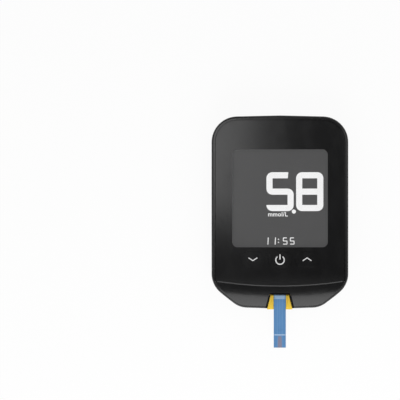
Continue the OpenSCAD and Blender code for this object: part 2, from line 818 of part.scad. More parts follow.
module board_screws() {
    slot_w = 0.4;
    slot_d = 0.45;
    color(steel)
        for (p = boss_places)
            translate([p[0], p[1], board_z])
                difference() {
                    union() {
                        translate([0, 0, -screw_head_h])
                            cylinder(r = screw_head_r, h = screw_head_h);
                        translate([0, 0, -eps])
                            cylinder(r = screw_r, h = screw_l + eps);
                    }
                    for (a = [0, 90])
                        rotate([0, 0, a])
                            translate([-screw_head_r * 0.7, -slot_w / 2, -screw_head_h - 1])
                                cube([screw_head_r * 1.4, slot_w, 1 + slot_d]);
                }
}

module processor_chip() {
    body_h = 0.9;
    lift_h = 0.1;
    lead_pitch = 0.8;
    leads = floor((processor_w - 0.6) / lead_pitch);
    first = (leads - 1) / 2;
    lead_w = 0.35;
    lead_t = 0.15;
    lead_l = 1;
    color([0.1, 0.1, 0.11])
        translate([processor_mid[0], processor_mid[1], board_z])
            union() {
                translate([-processor_w / 2, -processor_w / 2, -lift_h - body_h])
                    cube([processor_w, processor_w, body_h]);
                for (turn = [0 : 90 : 270], k = [0 : leads - 1])
                    rotate([0, 0, turn])
                        translate([(k - first) * lead_pitch - lead_w / 2, (processor_w - lead_l) / 2, 0])
                            union() {
                                translate([0, 0, -lift_h - body_h / 2])
                                    cube([lead_w, lead_l, lead_t]);
                                translate([0, lead_l - lead_t, -lift_h - body_h / 2])
                                    cube([lead_w, lead_t, lift_h + body_h / 2]);
                                translate([0, lead_l - lead_t, -lead_t])
                                    cube([lead_w, lead_l / 2, lead_t]);
                            }
            }
}

// Small parts, each [x, distance from an end of the body, width, length, height]:
// under the board from the strip end, under it from the data port end, and on top from that end.
foot_parts = [[4, 28.5, 2, 1.2, 0.6], [4, 25.5, 2, 1.2, 0.6], [20, 28.5, 1.6, 3.4, 0.8],
    [-3, 22.5, 3, 1.6, 1], [-3, 34.5, 1.2, 2, 0.6], [-6, 34.5, 1.2, 2, 0.6], [4, 38.5, 3.2, 1.5, 0.8],
    [12, 38.5, 1.6, 0.8, 0.5], [16, 38.5, 1.6, 0.8, 0.5], [-14, 36.5, 4.8, 1.8, 1.2]];
head_parts = [[-21, 22.5, 2, 1.2, 0.6], [-21, 19.5, 2, 1.2, 0.6]];
top_parts = [[8, 6.5, 1.6, 0.8, 0.6], [8, 4.5, 1.6, 0.8, 0.6], [-8, 6, 2.9, 1.6, 1]];

// One small part, standing up or, with up = -1, down from a level of the board.
module small_part(part, y, z, up) {
    low = up > 0 ? z : z - part[4];
    block([part[0] - part[2] / 2, y - part[3] / 2, low],
        [part[0] + part[2] / 2, y + part[3] / 2, low + part[4]]);
}

module board_components() {
    color([0.6, 0.52, 0.4])
        union() {
            for (part = foot_parts)
                small_part(part, -half_l + part[1], board_z, -1);
            for (part = head_parts)
                small_part(part, half_l - part[1], board_z, -1);
            for (part = top_parts)
                small_part(part, half_l - part[1], board_top_z, 1);
        }
}

module buzzer() {
    mouth_r = 0.9;
    rim = 0.4;
    color([0.12, 0.12, 0.13])
        translate([buzzer_mid[0], buzzer_mid[1], board_z - buzzer_h])
            difference() {
                union() {
                    cylinder(r = buzzer_r - rim, h = buzzer_h);
                    translate([0, 0, rim])
                        cylinder(r = buzzer_r, h = buzzer_h - 2 * rim);
                }
                translate([0, 0, -1])
                    cylinder(r = mouth_r, h = 1 + buzzer_h / 2);
            }
}

module switch_housings() {
    chamber_r = switch_w / 2 - 0.5;
    color([0.8, 0.8, 0.78])
        for (x = key_places)
            translate([x, key_row_y, board_top_z])
                difference() {
                    rounded_block(switch_w, switch_w, 0.4, 0, switch_h);
                    translate([0, 0, dome_z])
                        cylinder(r = chamber_r, h = chamber_top - dome_z);
                    translate([0, 0, dome_z])
                        cylinder(r = plunger_r + fit, h = switch_h);
                }
}

module switch_domes() {
    dome_r = switch_w / 2 - 0.7;
    sheet = 0.06;
    color(steel)
        for (x = key_places)
            translate([x, key_row_y, board_top_z + dome_z])
                rotate_extrude()
                    polygon([[0, dome_h - sheet], [dome_r * 0.6, dome_h * 0.75 - sheet], [dome_r, 0],
                        [dome_r, sheet], [dome_r * 0.6, dome_h * 0.75], [0, dome_h]]);
}

module plunger(x) {
    color([0.15, 0.15, 0.16])
        translate([x, key_row_y, board_top_z + plunger_z])
            union() {
                cylinder(r = plunger_r, h = plunger_top_z - board_top_z - plunger_z);
                cylinder(r = plunger_r + 0.35, h = collar_h);
            }
}

module plunger_down() {
    plunger(key_places[0]);
}

module plunger_power() {
    plunger(key_places[1]);
}

module plunger_up() {
    plunger(key_places[2]);
}

module key(x) {
    flange_top_z = seat_z - free / 2;
    color(panel_black)
        union() {
            rounded_block(key_w, key_h, key_corner_r, flange_top_z - eps, body_t, x, key_row_y);
            rounded_block(key_w + 2 * key_flange_w, key_h + 2 * key_flange_w, key_corner_r,
                flange_top_z - key_flange_t, flange_top_z, x, key_row_y);
            translate([x, key_row_y, plunger_top_z])
                cylinder(r = key_stem_r, h = flange_top_z - key_flange_t - plunger_top_z + eps);
        }
}

module key_down() {
    key(key_places[0]);
}

module key_power() {
    key(key_places[1]);
}

module key_up() {
    key(key_places[2]);
}

// ---- Battery ----

module coin_cell() {
    edge = 0.25;
    cap_r = cell_r - 1.2;
    color(steel)
        translate([0, cell_mid_y, cell_z])
            rotate_extrude()
                polygon([[0, 0], [cell_r - edge, 0], [cell_r, edge], [cell_r, cell_h - 2 * edge],
                    [cell_r - edge, cell_h - edge], [cap_r + edge, cell_h - edge],
                    [cap_r, cell_h - edge / 2], [cap_r, cell_h], [0, cell_h]]);
}

// Sprung plate under the board whose three fingers press on the top of the cell.
module cell_spring_contact() {
    ring_r = 5.5;
    hub_r = 3;
    finger_w = 1.8;
    finger_in = 1.2;
    pad = 0.7;
    root = hub_r + 0.5;
    top = board_z;
    low = cell_top_z + fit;
    color(gold)
        translate([0, cell_mid_y, 0])
            union() {
                translate([0, 0, top - contact_t])
                    difference() {
                        cylinder(r = ring_r, h = contact_t);
                        translate([0, 0, -1])
                            cylinder(r = hub_r, h = contact_t + 2);
                    }
                for (a = [90, 210, 330])
                    rotate([0, 0, a])
                        translate([0, finger_w / 2, 0])
                            rotate([90, 0, 0])
                                linear_extrude(height = finger_w)
                                    polygon([[root, top], [root, top - contact_t],
                                        [finger_in + pad, low], [finger_in, low],
                                        [finger_in, low + contact_t], [finger_in + pad, low + contact_t],
                                        [hub_r, top]]);
            }
}

// Sprung leaf that hangs from the board and presses on the side of the cell.
module cell_side_contact() {
    near = cell_r + fit;
    out = near + 0.7;
    foot_l = 1.6;
    tip_in = 0.3;
    tip_h = 0.8;
    low = cell_z + 1.2;
    color(gold)
        translate([0, cell_mid_y + side_contact_w / 2, 0])
            rotate([90, 0, 0])
                linear_extrude(height = side_contact_w)
                    polygon([[out + foot_l, board_z], [out + foot_l, board_z - contact_t],
                        [out + contact_t, board_z - contact_t], [near + contact_t, low + tip_h],
                        [near + tip_in + contact_t, low], [near + tip_in, low], [near, low + tip_h],
                        [out, board_z]]);
}

// ---- Strip port and test strip ----

module strip_tray() {
    flange_half_w = notch_foot_w / 2 + tray_flange_w;
    flange_y = -half_l + foot_bow + wall + free;
    neck_w = notch_top_w - 2 * tray_in;
    guide_mid = strip_w / 2 + free + guide_w / 2;
    guide_in = 1;
    front_y = -half_l - tray_out;
    color([0.89, 0.7, 0.24])
        union() {
            intersection() {
                plate(rounded(inset_corners(notch_corners(), tray_in)), parting_z, slot_floor_z);
                block([-far, front_y, parting_z], [far, half_l, slot_floor_z]);
            }
            // neck that goes on through the housing to the connector
            block([-neck_w / 2, notch_y - notch_r - tray_in, parting_z],
                [neck_w / 2, tray_end_y, slot_floor_z]);
            block([-flange_half_w, flange_y, parting_z],
                [flange_half_w, tray_end_y, parting_z + tray_flange_t]);
            for (side = [-1, 1])
                block([side * guide_mid - guide_w / 2, front_y + guide_in, parting_z + eps],
                    [side * guide_mid + guide_w / 2, tray_end_y, slot_floor_z + guide_h]);
        }
}

module strip_connector() {
    slot_w = strip_w + 2 * strip_gap;
    top_z = board_top_z + connector_h;
    groove_w = strip_contact_w + 2 * fit;
    groove_y = connector_y + strip_in - strip_bare_l;
    mouth = 0.3;
    color([0.88, 0.87, 0.82])
        difference() {
            block([-connector_w / 2, connector_y, board_top_z],
                [connector_w / 2, connector_y + connector_l, top_z]);
            block([-slot_w / 2, connector_y - 1, slot_floor_z],
                [slot_w / 2, strip_end_y + free, slot_top_z]);
            // flared mouth of the slot
            translate([0, connector_y, 0])
                rotate([90, 0, 90])
                    translate([0, 0, -slot_w / 2])
                        linear_extrude(height = slot_w)
                            polygon([[-1, slot_floor_z], [mouth * 2, slot_floor_z], [mouth * 2, slot_top_z],
                                [0, slot_top_z + mouth], [-1, slot_top_z + mouth]]);
            for (x = strip_lines)
                block([x - groove_w / 2, groove_y, slot_top_z - eps],
                    [x + groove_w / 2, connector_y + connector_l + 1, top_z + 1]);
        }
}

// Sprung contacts, each from its solder foot behind the connector to its tip on the strip.
module strip_contacts() {
    t = 0.15;
    foot_l = 1.1;
    slope_l = 2.2;
    toe_l = 0.6;
    back_y = connector_y + connector_l + fit;
    tip_y = strip_end_y - 3;
    arm_z = board_top_z + connector_h - 0.45;
    low_z = strip_base_z + 2 * fit;
    color(gold)
        for (x = strip_lines)
            translate([x - strip_contact_w / 2, 0, 0])
                rotate([90, 0, 90])
                    linear_extrude(height = strip_contact_w)
                        polygon([[back_y + foot_l, board_top_z], [back_y + foot_l, board_top_z + t],
                            [back_y + t, board_top_z + t], [back_y + t, arm_z + t],
                            [tip_y + slope_l, arm_z + t], [tip_y, low_z + t], [tip_y - toe_l, low_z + 2 * t],
                            [tip_y - toe_l, low_z + t], [tip_y, low_z], [tip_y + t, low_z],
                            [tip_y + slope_l + t, arm_z], [back_y, arm_z], [back_y, board_top_z]]);
}

module strip_base() {
    length = strip_end_y - strip_tip_y;
    color([0.4, 0.58, 0.78])
        rounded_block(strip_w, length, 0.15, strip_z, strip_base_z, 0, strip_tip_y + length / 2);
}

module strip_cover() {
    vent_r = 0.35;
    vent_in = 7.8;
    length = strip_end_y - strip_bare_l - strip_tip_y;
    color([0.38, 0.55, 0.76])
        difference() {
            rounded_block(strip_w, length, 0.15, strip_base_z, strip_top_z, 0, strip_tip_y + length / 2);
            translate([0, strip_tip_y + vent_in, strip_base_z - 1])
                cylinder(r = vent_r, h = 2);
        }
}

module strip_electrodes() {
    film = 0.03;
    end_gap = 0.3;
    cover_end_y = strip_end_y - strip_bare_l;
    color([0.25, 0.25, 0.27])
        for (x = strip_lines)
            block([x - strip_contact_w / 2, cover_end_y + end_gap, strip_base_z],
                [x + strip_contact_w / 2, strip_end_y - end_gap, strip_base_z + film]);
}

// ---- Data port ----

// Profile of the socket's shell, drawn in by inset: wide at the top, narrower at the board.
function socket_profile(inset) = rounded(inset_corners([[socket_w / 2, socket_h, 0.5],
    [socket_w / 2, 1, 0.4], [socket_w / 2 - 1, 0, 0.4], [-socket_w / 2 + 1, 0, 0.4],
    [-socket_w / 2, 1, 0.4], [-socket_w / 2, socket_h, 0.5]], inset));

// Extrudes a profile drawn in X and Z from y0 to y1.
module along_y(points, y0, y1, z) {
    translate([0, y1, z])
        rotate([90, 0, 0])
            linear_extrude(height = y1 - y0)
                polygon(points);
}

module data_socket_shell() {
    color(steel)
        difference() {
            along_y(socket_profile(0), socket_y, socket_y + socket_l, board_top_z);
            along_y(socket_profile(socket_sheet), socket_y + 1, socket_y + socket_l + 1, board_top_z);
        }
}

tongue_w = 3.8;
tongue_t = 0.6;
tongue_z = board_top_z + socket_h / 2;
tongue_out = 0.7;

module data_socket_tongue() {
    color([0.08, 0.08, 0.08])
        block([-tongue_w / 2, socket_y + 1, tongue_z],
            [tongue_w / 2, socket_y + socket_l - tongue_out, tongue_z + tongue_t]);
}

module data_socket_contacts() {
    pitch = 0.65;
    w = 0.35;
    t = 0.12;
    color(gold)
        for (k = [-2 : 2])
            block([k * pitch - w / 2, socket_y + 1, tongue_z - t],
                [k * pitch + w / 2, socket_y + socket_l - tongue_out - free, tongue_z]);
}

front_housing();
rear_housing();
front_panel();
display_window();
window_gasket();
display_polariser();
display_front_glass();
display_rear_glass();
display_holder();
zebra_connector();
circuit_board();
board_screws();
processor_chip();
board_components();
buzzer();
switch_housings();
switch_domes();
key_down();
key_power();
key_up();
plunger_down();
plunger_power();
plunger_up();
coin_cell();
cell_spring_contact();
cell_side_contact();
battery_door();
strip_tray();
strip_connector();
strip_contacts();
strip_base();
strip_cover();
strip_electrodes();
data_socket_shell();
data_socket_tongue();
data_socket_contacts();
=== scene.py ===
"""Looks of a pocket blood glucose meter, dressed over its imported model.

Every length that isn't read from the frame is written in millimetres and turned into metres by MM.
Angles are in degrees. Points closer than MERGE count as one.
"""

import json
import logging
import math
from contextlib import contextmanager
from dataclasses import dataclass, replace
from enum import Enum
from typing import Any, Callable, Iterator, Sequence

import bmesh
import bpy
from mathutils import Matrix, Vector

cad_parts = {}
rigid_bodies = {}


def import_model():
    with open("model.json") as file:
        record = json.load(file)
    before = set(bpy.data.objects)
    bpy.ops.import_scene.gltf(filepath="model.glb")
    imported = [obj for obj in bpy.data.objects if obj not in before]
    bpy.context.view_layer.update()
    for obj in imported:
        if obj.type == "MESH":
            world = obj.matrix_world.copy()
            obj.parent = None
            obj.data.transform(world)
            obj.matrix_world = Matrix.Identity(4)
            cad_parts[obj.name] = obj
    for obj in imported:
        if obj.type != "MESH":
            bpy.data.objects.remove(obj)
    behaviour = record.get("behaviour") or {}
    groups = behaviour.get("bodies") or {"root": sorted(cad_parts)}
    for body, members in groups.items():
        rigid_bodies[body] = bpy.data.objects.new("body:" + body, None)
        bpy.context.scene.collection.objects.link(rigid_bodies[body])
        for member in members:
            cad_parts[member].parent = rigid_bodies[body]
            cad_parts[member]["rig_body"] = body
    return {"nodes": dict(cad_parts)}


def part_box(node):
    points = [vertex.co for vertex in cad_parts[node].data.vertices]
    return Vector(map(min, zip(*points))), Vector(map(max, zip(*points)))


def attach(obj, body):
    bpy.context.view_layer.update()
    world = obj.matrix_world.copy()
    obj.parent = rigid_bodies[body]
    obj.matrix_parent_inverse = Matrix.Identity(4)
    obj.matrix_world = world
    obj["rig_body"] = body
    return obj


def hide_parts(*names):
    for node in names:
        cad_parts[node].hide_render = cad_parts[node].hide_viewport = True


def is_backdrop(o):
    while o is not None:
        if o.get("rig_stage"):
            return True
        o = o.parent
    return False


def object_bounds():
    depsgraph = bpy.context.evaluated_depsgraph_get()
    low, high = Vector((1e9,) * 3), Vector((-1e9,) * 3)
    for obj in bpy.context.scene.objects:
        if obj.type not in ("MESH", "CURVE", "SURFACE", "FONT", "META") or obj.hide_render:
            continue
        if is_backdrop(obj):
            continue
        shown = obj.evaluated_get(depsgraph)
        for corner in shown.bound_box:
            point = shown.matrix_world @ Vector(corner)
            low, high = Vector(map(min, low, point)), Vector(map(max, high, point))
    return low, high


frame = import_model()

MM = 0.001
MERGE = 0.001 * MM
FLAT_ANGLE, SHARP_ANGLE, SMOOTH_ANGLE = 0.4, 40.0, 32.0
BODY = "meter_body"
LOG = logging.getLogger("meter")

Piece = bpy.types.Object
Colour = tuple[float, float, float]
Point = tuple[float, float, float]
Place = tuple[float, float]


def metres(*lengths: float) -> tuple[float, ...]:
    """Lengths in millimetres as metres."""
    return tuple(length * MM for length in lengths)


# ---- Shader maths ----


class Signal:
    """A shader socket that Python's operators can do sums with."""

    def __init__(self, graph: "Graph", socket: bpy.types.NodeSocket) -> None:
        """Keeps the socket and the graph that it belongs to."""
        self.graph = graph
        self.socket = socket

    def maths(self, operation: str, *others: Any) -> "Signal":
        """Adds one Math node.

        Args:
            operation: The Math node's operation.
            others: The values or signals after this one.

        Returns:
            The node's result.
        """
        return self.graph.add("Math", {"operation": operation}, dict(enumerate((self, *others))))

    def __add__(self, other: Any) -> "Signal":
        """Sum."""
        return self.maths("ADD", other)

    __radd__ = __add__

    def __mul__(self, other: Any) -> "Signal":
        """Product."""
        return self.maths("MULTIPLY", other)

    __rmul__ = __mul__

    def __sub__(self, other: Any) -> "Signal":
        """Difference."""
        return self.maths("SUBTRACT", other)

    def __rsub__(self, other: Any) -> "Signal":
        """Difference, the other way round."""
        return self.maths("MULTIPLY", -1.0) + other

    def __truediv__(self, other: Any) -> "Signal":
        """Quotient."""
        return self.maths("DIVIDE", other)

    def __abs__(self) -> "Signal":
        """Distance from zero."""
        return self.maths("ABSOLUTE")

    def __lt__(self, other: Any) -> "Signal":
        """One where this is the smaller."""
        return self.maths("LESS_THAN", other)

    def ramp(self, low: float, high: float, start: float = 0.0, end: float = 1.0) -> "Signal":
        """Smooth step from start at low to end at high, level past them.

        Args:
            low: The value at which the step starts.
            high: The value at which it ends.
            start: What it gives up to low.
            end: What it gives from high on.

        Returns:
            The stepped value.
        """
        settings = {"interpolation_type": "SMOOTHSTEP"}
        return self.graph.add("MapRange", settings, {0: self, 1: low, 2: high, 3: start, 4: end})


class Graph:
    """The nodes of a material or of the world, grown one call at a time."""

    def __init__(self, owner: bpy.types.Material | bpy.types.World) -> None:
        """Empties the nodes of a new material or world.

        Args:
            owner: The material or world.
        """
        owner.use_nodes = True
        self.owner = owner
        self.tree = owner.node_tree
        self.tree.nodes.clear()

    def add(self, kind: str, settings: dict[str, Any], inputs: dict[Any, Any], output: Any = 0) -> Signal:
        """Adds a node of any type.

        Args:
            kind: The node's type, without ShaderNode before it.
            settings: Its settings, set first.
            inputs: The value or the link of each socket, by name or number.
            output: Which of its outputs to return.

        Returns:
            That output.
        """
        node = self.tree.nodes.new(f"ShaderNode{kind}")
        for key, value in settings.items():
            setattr(node, key, value)
        for key, value in inputs.items():
            if isinstance(value, Signal):
                self.tree.links.new(value.socket, node.inputs[key])
            else:
                node.inputs[key].default_value = value
        return Signal(self, node.outputs[output])

    def place(self) -> Signal:
        """The point being shaded, in the frame, in metres."""
        return self.add("TexCoord", {}, {}, "Object")

    def axes(self) -> tuple[Signal, Signal, Signal]:
        """The same point's x, y and z, in millimetres."""
        point = self.place()
        return tuple(self.add("SeparateXYZ", {}, {0: point}, axis) / MM for axis in range(3))

    def noise(self, size: float, detail: float = 2.0, stretch: Point = (1.0, 1.0, 1.0)) -> Signal:
        """Cloudy noise.

        Args:
            size: The size of its patches in millimetres.
            detail: How many finer layers lie over it.
            stretch: How often it repeats along each axis, against size.

        Returns:
            The noise, about 0.5 on average.
        """
        point = self.add("Mapping", {}, {"Vector": self.place(), "Scale": stretch})
        inputs = {"Vector": point, "Scale": 1.0 / (size * MM), "Detail": detail, "Roughness": 0.55}
        return self.add("TexNoise", {}, inputs, "Fac")

    def mix(self, factor: Any, low: Any, high: Any) -> Signal:
        """Blends two colours.

        Args:
            factor: How much of the second shows.
            low: The first colour or its signal.
            high: The second.

        Returns:
            The blended colour.
        """
        colours = {6: self.rgba(low), 7: self.rgba(high)}
        return self.add("Mix", {"data_type": "RGBA"}, {0: factor, **colours}, 2)

    @staticmethod
    def rgba(colour: Any) -> Any:
        """A colour as a socket takes it; a signal stays as it is."""
        return colour if isinstance(colour, Signal) else (*colour, 1.0)

    def bump(self, height: Signal, depth: float, strength: float = 1.0) -> Signal:
        """Turns a height into a normal.

        Args:
            height: The height, from 0 to 1.
            depth: What 1 stands for, in millimetres.
            strength: How strongly it shows.

        Returns:
            The normal.
        """
        inputs = {"Height": height, "Distance": depth * MM, "Strength": strength}
        return self.add("Bump", {}, inputs)

    def glow(self, level: Signal, blue: float = 1.01) -> dict[str, Any]:
        """What makes a surface glow at a grey level, with its blue channel this much brighter."""
        colour = self.add("CombineColor", {}, {0: level, 1: level, 2: level * blue})
        return {"Emission_Color": colour, "Emission_Strength": 1.0}

    def close(self, colour: Any, rough: Any, **more: Any) -> None:
        """Feeds the surface shader and ends the material.

        Args:
            colour: Its colour, or the colour's signal.
            rough: Its roughness, or the roughness's signal.
            more: Its other sockets, with underscores for the spaces of their names.
        """
        inputs = {key.replace("_", " "): value for key, value in more.items()}
        inputs |= {"Base Color": self.rgba(colour), "Roughness": rough}
        self.end(self.add("BsdfPrincipled", {}, inputs))

    def end(self, shader: Signal, kind: str = "Material") -> None:
        """Joins a shader to the output, which is of this kind, Material or World."""
        output = self.tree.nodes.new(f"ShaderNodeOutput{kind}")
        self.tree.links.new(shader.socket, output.inputs["Surface"])


def screen(red: float, green: float, blue: float) -> Colour:
    """Turns a colour as seen on a screen, from 0 to 255, into the linear one a shader takes.

    Args:
        red: Its red.
        green: Its green.
        blue: Its blue.

    Returns:
        The linear colour.
    """
    def linear(value: float) -> float:
        """One channel."""
        part = value / 255.0
        return part / 12.92 if part <= 0.04045 else ((part + 0.055) / 1.055) ** 2.4

    return linear(red), linear(green), linear(blue)


# ---- Finishes ----


@dataclass(frozen=True)
class Finish:
    """What a surface is made of; each kind builds its own material."""

    name: str
    colour: Colour
    roughness: float = 0.5

    def material(self) -> bpy.types.Material:
        """Gives the finish's material, and builds it the first time.

        Returns:
            The material.
        """
        if self.name not in bpy.data.materials:
            self.build()
        return bpy.data.materials[self.name]

    def shade(self, factor: float, more: float = 0.0) -> Colour:
        """The finish's colour times a factor, and some more light in it."""
        return tuple(min(1.0, value * factor + more) for value in self.colour)

    def graph(self) -> Graph:
        """A new material's graph."""
        return Graph(bpy.data.materials.new(self.name))

    def build(self) -> None:
        """Builds the material."""
        raise NotImplementedError


@dataclass(frozen=True)
class Moulding(Finish):
    """Moulded plastic: a fine grain, a faint cloudiness and soft marks from handling."""

    specular: float = 0.5
    grain: float = 0.16
    grain_depth: float = 0.006
    wear: float = 0.12

    def build(self) -> None:
        """Builds the material."""
        graph = self.graph()
        grain = graph.noise(self.grain, 3.0)
        cloud = graph.noise(9.0, 2.0)
        rubs = graph.noise(1.6, 4.0, (1.0, 0.16, 1.0)).ramp(0.56, 0.74)
        worn = self.shade(1.0 + self.wear, 0.004)
        colour = graph.mix(rubs * 0.5 + (cloud - 0.5) * 0.5, self.colour, worn)
        rough = self.roughness + (cloud - 0.5) * 0.1 - rubs * 0.05
        graph.close(colour, rough, Specular_IOR_Level=self.specular,
                    Normal=graph.bump(grain, self.grain_depth, 0.7))


@dataclass(frozen=True)
class PolishedPanel(Finish):
    """Dark plastic with a soft gloss, hair-fine scratches, finger marks and a painted sheen along its lower
    end, a painted reflection of the light in front.
    """

    specular: float = 0.5
    wear: float = 0.004
    scratch: float = 0.00008
    # painted sheen: how much lighter the lower end is painted, and the span of y over which it fades
    haze: float = 0.008
    haze_y: Place = (-32.0, -26.5)

    def build(self) -> None:
        """Builds the material."""
        graph = self.graph()
        smear = graph.noise(7.0, 3.0, (1.0, 0.6, 1.0)).ramp(0.4, 0.75)
        along = graph.noise(0.35, 1.0, (1.0, 0.03, 1.0)).ramp(0.7, 0.76)
        across = graph.noise(0.4, 1.0, (0.04, 1.0, 1.0)).ramp(0.71, 0.77)
        rough = self.roughness + smear * 0.035 + (along + across) * 0.03
        height = graph.noise(0.09, 2.0) * 0.0002 + (along + across) * self.scratch
        worn = graph.mix(smear * 0.35, self.colour, self.shade(1.0, self.wear))
        # painted reflection: the colour grows lighter towards the lower end by the crease, as if it
        # mirrored the light in front
        low = graph.axes()[1].ramp(*self.haze_y, 1.0, 0.0)
        colour = graph.mix(low, worn, self.shade(1.0, self.haze))
        graph.close(colour, rough, Specular_IOR_Level=self.specular, Normal=graph.bump(height, 1.0))


@dataclass(frozen=True)
class ClearWindow(Finish):
    """Clear window with an anti-glare face."""

    density: float = 0.14

    def build(self) -> None:
        """Builds the material."""
        graph = self.graph()
        haze = graph.noise(5.0, 3.0).ramp(0.35, 0.8)
        grain = graph.noise(0.12, 2.0)
        graph.close(self.colour, self.roughness + haze * 0.05, Alpha=self.density + haze * 0.01,
                    Specular_IOR_Level=0.12, Normal=graph.bump(grain, 0.0006, 0.5))


@dataclass(frozen=True)
class LitFilm(Finish):
    """Backlit display layer: grey, evenly lit, with a finer line along its border."""

    low: Place = (0.0, 0.0)
    high: Place = (0.0, 0.0)
    line: float = 0.28
    glow: float = 0.084
    line_glow: float = 0.09

    def build(self) -> None:
        """Builds the material."""
        graph = self.graph()
        x, y, _ = graph.axes()
        inside_x = self.high[0] - abs(x)
        inside_y = (self.high[1] - self.low[1]) / 2 - abs(y - (self.high[1] + self.low[1]) / 2)
        border = inside_x.maths("MINIMUM", inside_y).ramp(self.line * 0.6, self.line * 1.6, 1.0, 0.0)
        cloud = graph.noise(11.0, 1.0)
        level = self.glow * (1.0 + (cloud - 0.5) * 0.05 + border * self.line_glow)
        cells = graph.noise(0.1, 1.0)
        graph.close(self.colour, self.roughness, **graph.glow(level), Specular_IOR_Level=0.15,
                    Normal=graph.bump(cells, 0.001, 0.4))


@dataclass(frozen=True)
class LitFigure(Finish):
    """Lit figure of the display."""

    glow: float = 0.86

    def build(self) -> None:
        """Builds the material."""
        graph = self.graph()
        cloud = graph.noise(1.4, 2.0)
        level = self.glow * (0.97 + cloud * 0.06)
        graph.close(self.colour, self.roughness, **graph.glow(level, 1.0))


@dataclass(frozen=True)
class MarkInk(Finish):
    """Printed ink with a slightly uneven edge and thickness."""

    def build(self) -> None:
        """Builds the material."""
        graph = self.graph()
        speckle = graph.noise(0.12, 3.0)
        colour = graph.mix(speckle.ramp(0.5, 0.75), self.colour, self.shade(0.86))
        graph.close(colour, self.roughness + speckle * 0.1, Normal=graph.bump(speckle, 0.004, 0.6))


@dataclass(frozen=True)
class StripFilm(Finish):
    """Printed film of a test strip: an inner pale band, a cross line and the sample window, with painted
    shade along its long edges.
    """

    pale: Colour = screen(160, 191, 222)
    white: Colour = screen(180, 202, 226)
    sample: Colour = screen(132, 128, 146)
    band: Place = (0.0, 0.0)
    line: float = 0.0
    half_width: float = 2.65

    def build(self) -> None:
        """Builds the material."""
        graph = self.graph()
        x, y, _ = graph.axes()
        fibre = graph.noise(0.5, 3.0, (1.0, 0.12, 1.0))
        speckle = graph.noise(0.09, 2.0)
        blue = graph.mix((fibre - 0.5) * 1.2 + 0.4, self.colour, self.shade(0.86))
        traces = self.traces(x) * (y < self.line + 26.0)
        blue = graph.mix(traces * 0.1, blue, self.pale)
        # painted shade: the film darkens towards its long edges, as the shadow gap beside them would
        edge = abs(x).ramp(self.half_width - 0.35, self.half_width - 0.05)
        blue = graph.mix(edge * 0.35, blue, self.shade(0.6))
        low, high = self.band
        in_band = y.ramp(low - 0.2, low + 0.2) * y.ramp(high - 0.15, high, 1.0, 0.0)
        inner = abs(x).ramp(self.half_width - 0.7, self.half_width - 0.35, 1.0, 0.0)
        blue = graph.mix(in_band * (0.45 + inner * 0.5), blue, self.pale)
        cross = abs(y - self.line).ramp(0.12, 0.3, 1.0, 0.0)
        blue = graph.mix(cross * (0.55 + inner * 0.4), blue, self.white)
        window = self.sample_window(x, y)
        colour = graph.mix(window * 0.9, blue, self.sample)
        rough = self.roughness + speckle * 0.08 + window * 0.2
        height = speckle * 0.4 + fibre * 0.3 - window * 0.5
        graph.close(colour, rough, Specular_IOR_Level=0.35, Normal=graph.bump(height, 0.004, 0.5))

    def traces(self, x: Signal) -> Signal:
        """Faint printed conductors that show through the film."""
        pair = abs(abs(x) - 1.05).ramp(0.15, 0.32, 1.0, 0.0)
        return pair + abs(x).ramp(0.1, 0.3, 1.0, 0.0)

    def sample_window(self, x: Signal, y: Signal) -> Signal:
        """Where the reagent shows: narrow by the line, wider towards the strip's end.

        Args:
            x: The place across the strip.
            y: The place along it.

        Returns:
            One inside the window.
        """
        below = y.ramp(self.line - 0.75, self.line - 0.35, 1.0, 0.0)
        reach = y.ramp(self.line - 3.5, self.line - 0.4, 0.95, 0.75)
        return below * (reach - abs(x)).ramp(-0.12, 0.2)


@dataclass(frozen=True)
class Plated(Finish):
    """Rolled or plated sheet metal with fine lines along its length."""

    lines: Point = (1.0, 0.05, 1.0)

    def build(self) -> None:
        """Builds the material."""
        graph = self.graph()
        brushed = graph.noise(0.12, 2.0, self.lines)
        tarnish = graph.noise(2.5, 3.0).ramp(0.5, 0.8)
        rough = self.roughness + brushed * 0.12 + tarnish * 0.08
        graph.close(graph.mix(tarnish * 0.5, self.colour, self.shade(0.78)), rough, Metallic=1.0,
                    Normal=graph.bump(brushed, 0.002, 0.5))


@dataclass(frozen=True)
class BoardMask(Finish):
    """Solder mask over copper tracks, with tinned pads in rows."""

    copper: Colour = (0.03, 0.2, 0.07)

    def build(self) -> None:
        """Builds the material."""
        graph = self.graph()
        x, y, _ = graph.axes()
        lanes = (x * 0.9 + graph.noise(9.0, 0.0) * 4.0).maths("FRACT")
        rows = (y * 0.55 + graph.noise(12.0, 0.0) * 3.0).maths("FRACT")
        tracks = lanes.ramp(0.26, 0.34, 1.0, 0.0).maths("MAXIMUM", rows.ramp(0.2, 0.28, 1.0, 0.0))
        weave = graph.noise(0.3, 2.0, (1.0, 0.3, 1.0))
        colour = graph.mix(tracks * 0.7 + weave * 0.1, self.colour, self.copper)
        graph.close(colour, self.roughness + weave * 0.08, Coat_Weight=0.4, Coat_Roughness=0.2,
                    Normal=graph.bump(tracks * 0.6 + weave * 0.2, 0.02, 0.5))


@dataclass(frozen=True)
class StripedRubber(Finish):
    """Rubber of thin conducting and insulating slices, one behind the other."""

    second: Colour = (0.02, 0.02, 0.02)
    pitch: float = 0.2

    def build(self) -> None:
        """Builds the material."""
        graph = self.graph()
        x, _, _ = graph.axes()
        slices = (x / self.pitch).maths("FRACT").ramp(0.4, 0.5)
        colour = graph.mix(slices, self.colour, self.second)
        graph.close(colour, self.roughness, Normal=graph.bump(slices + graph.noise(0.1) * 0.4, 0.01, 0.4))


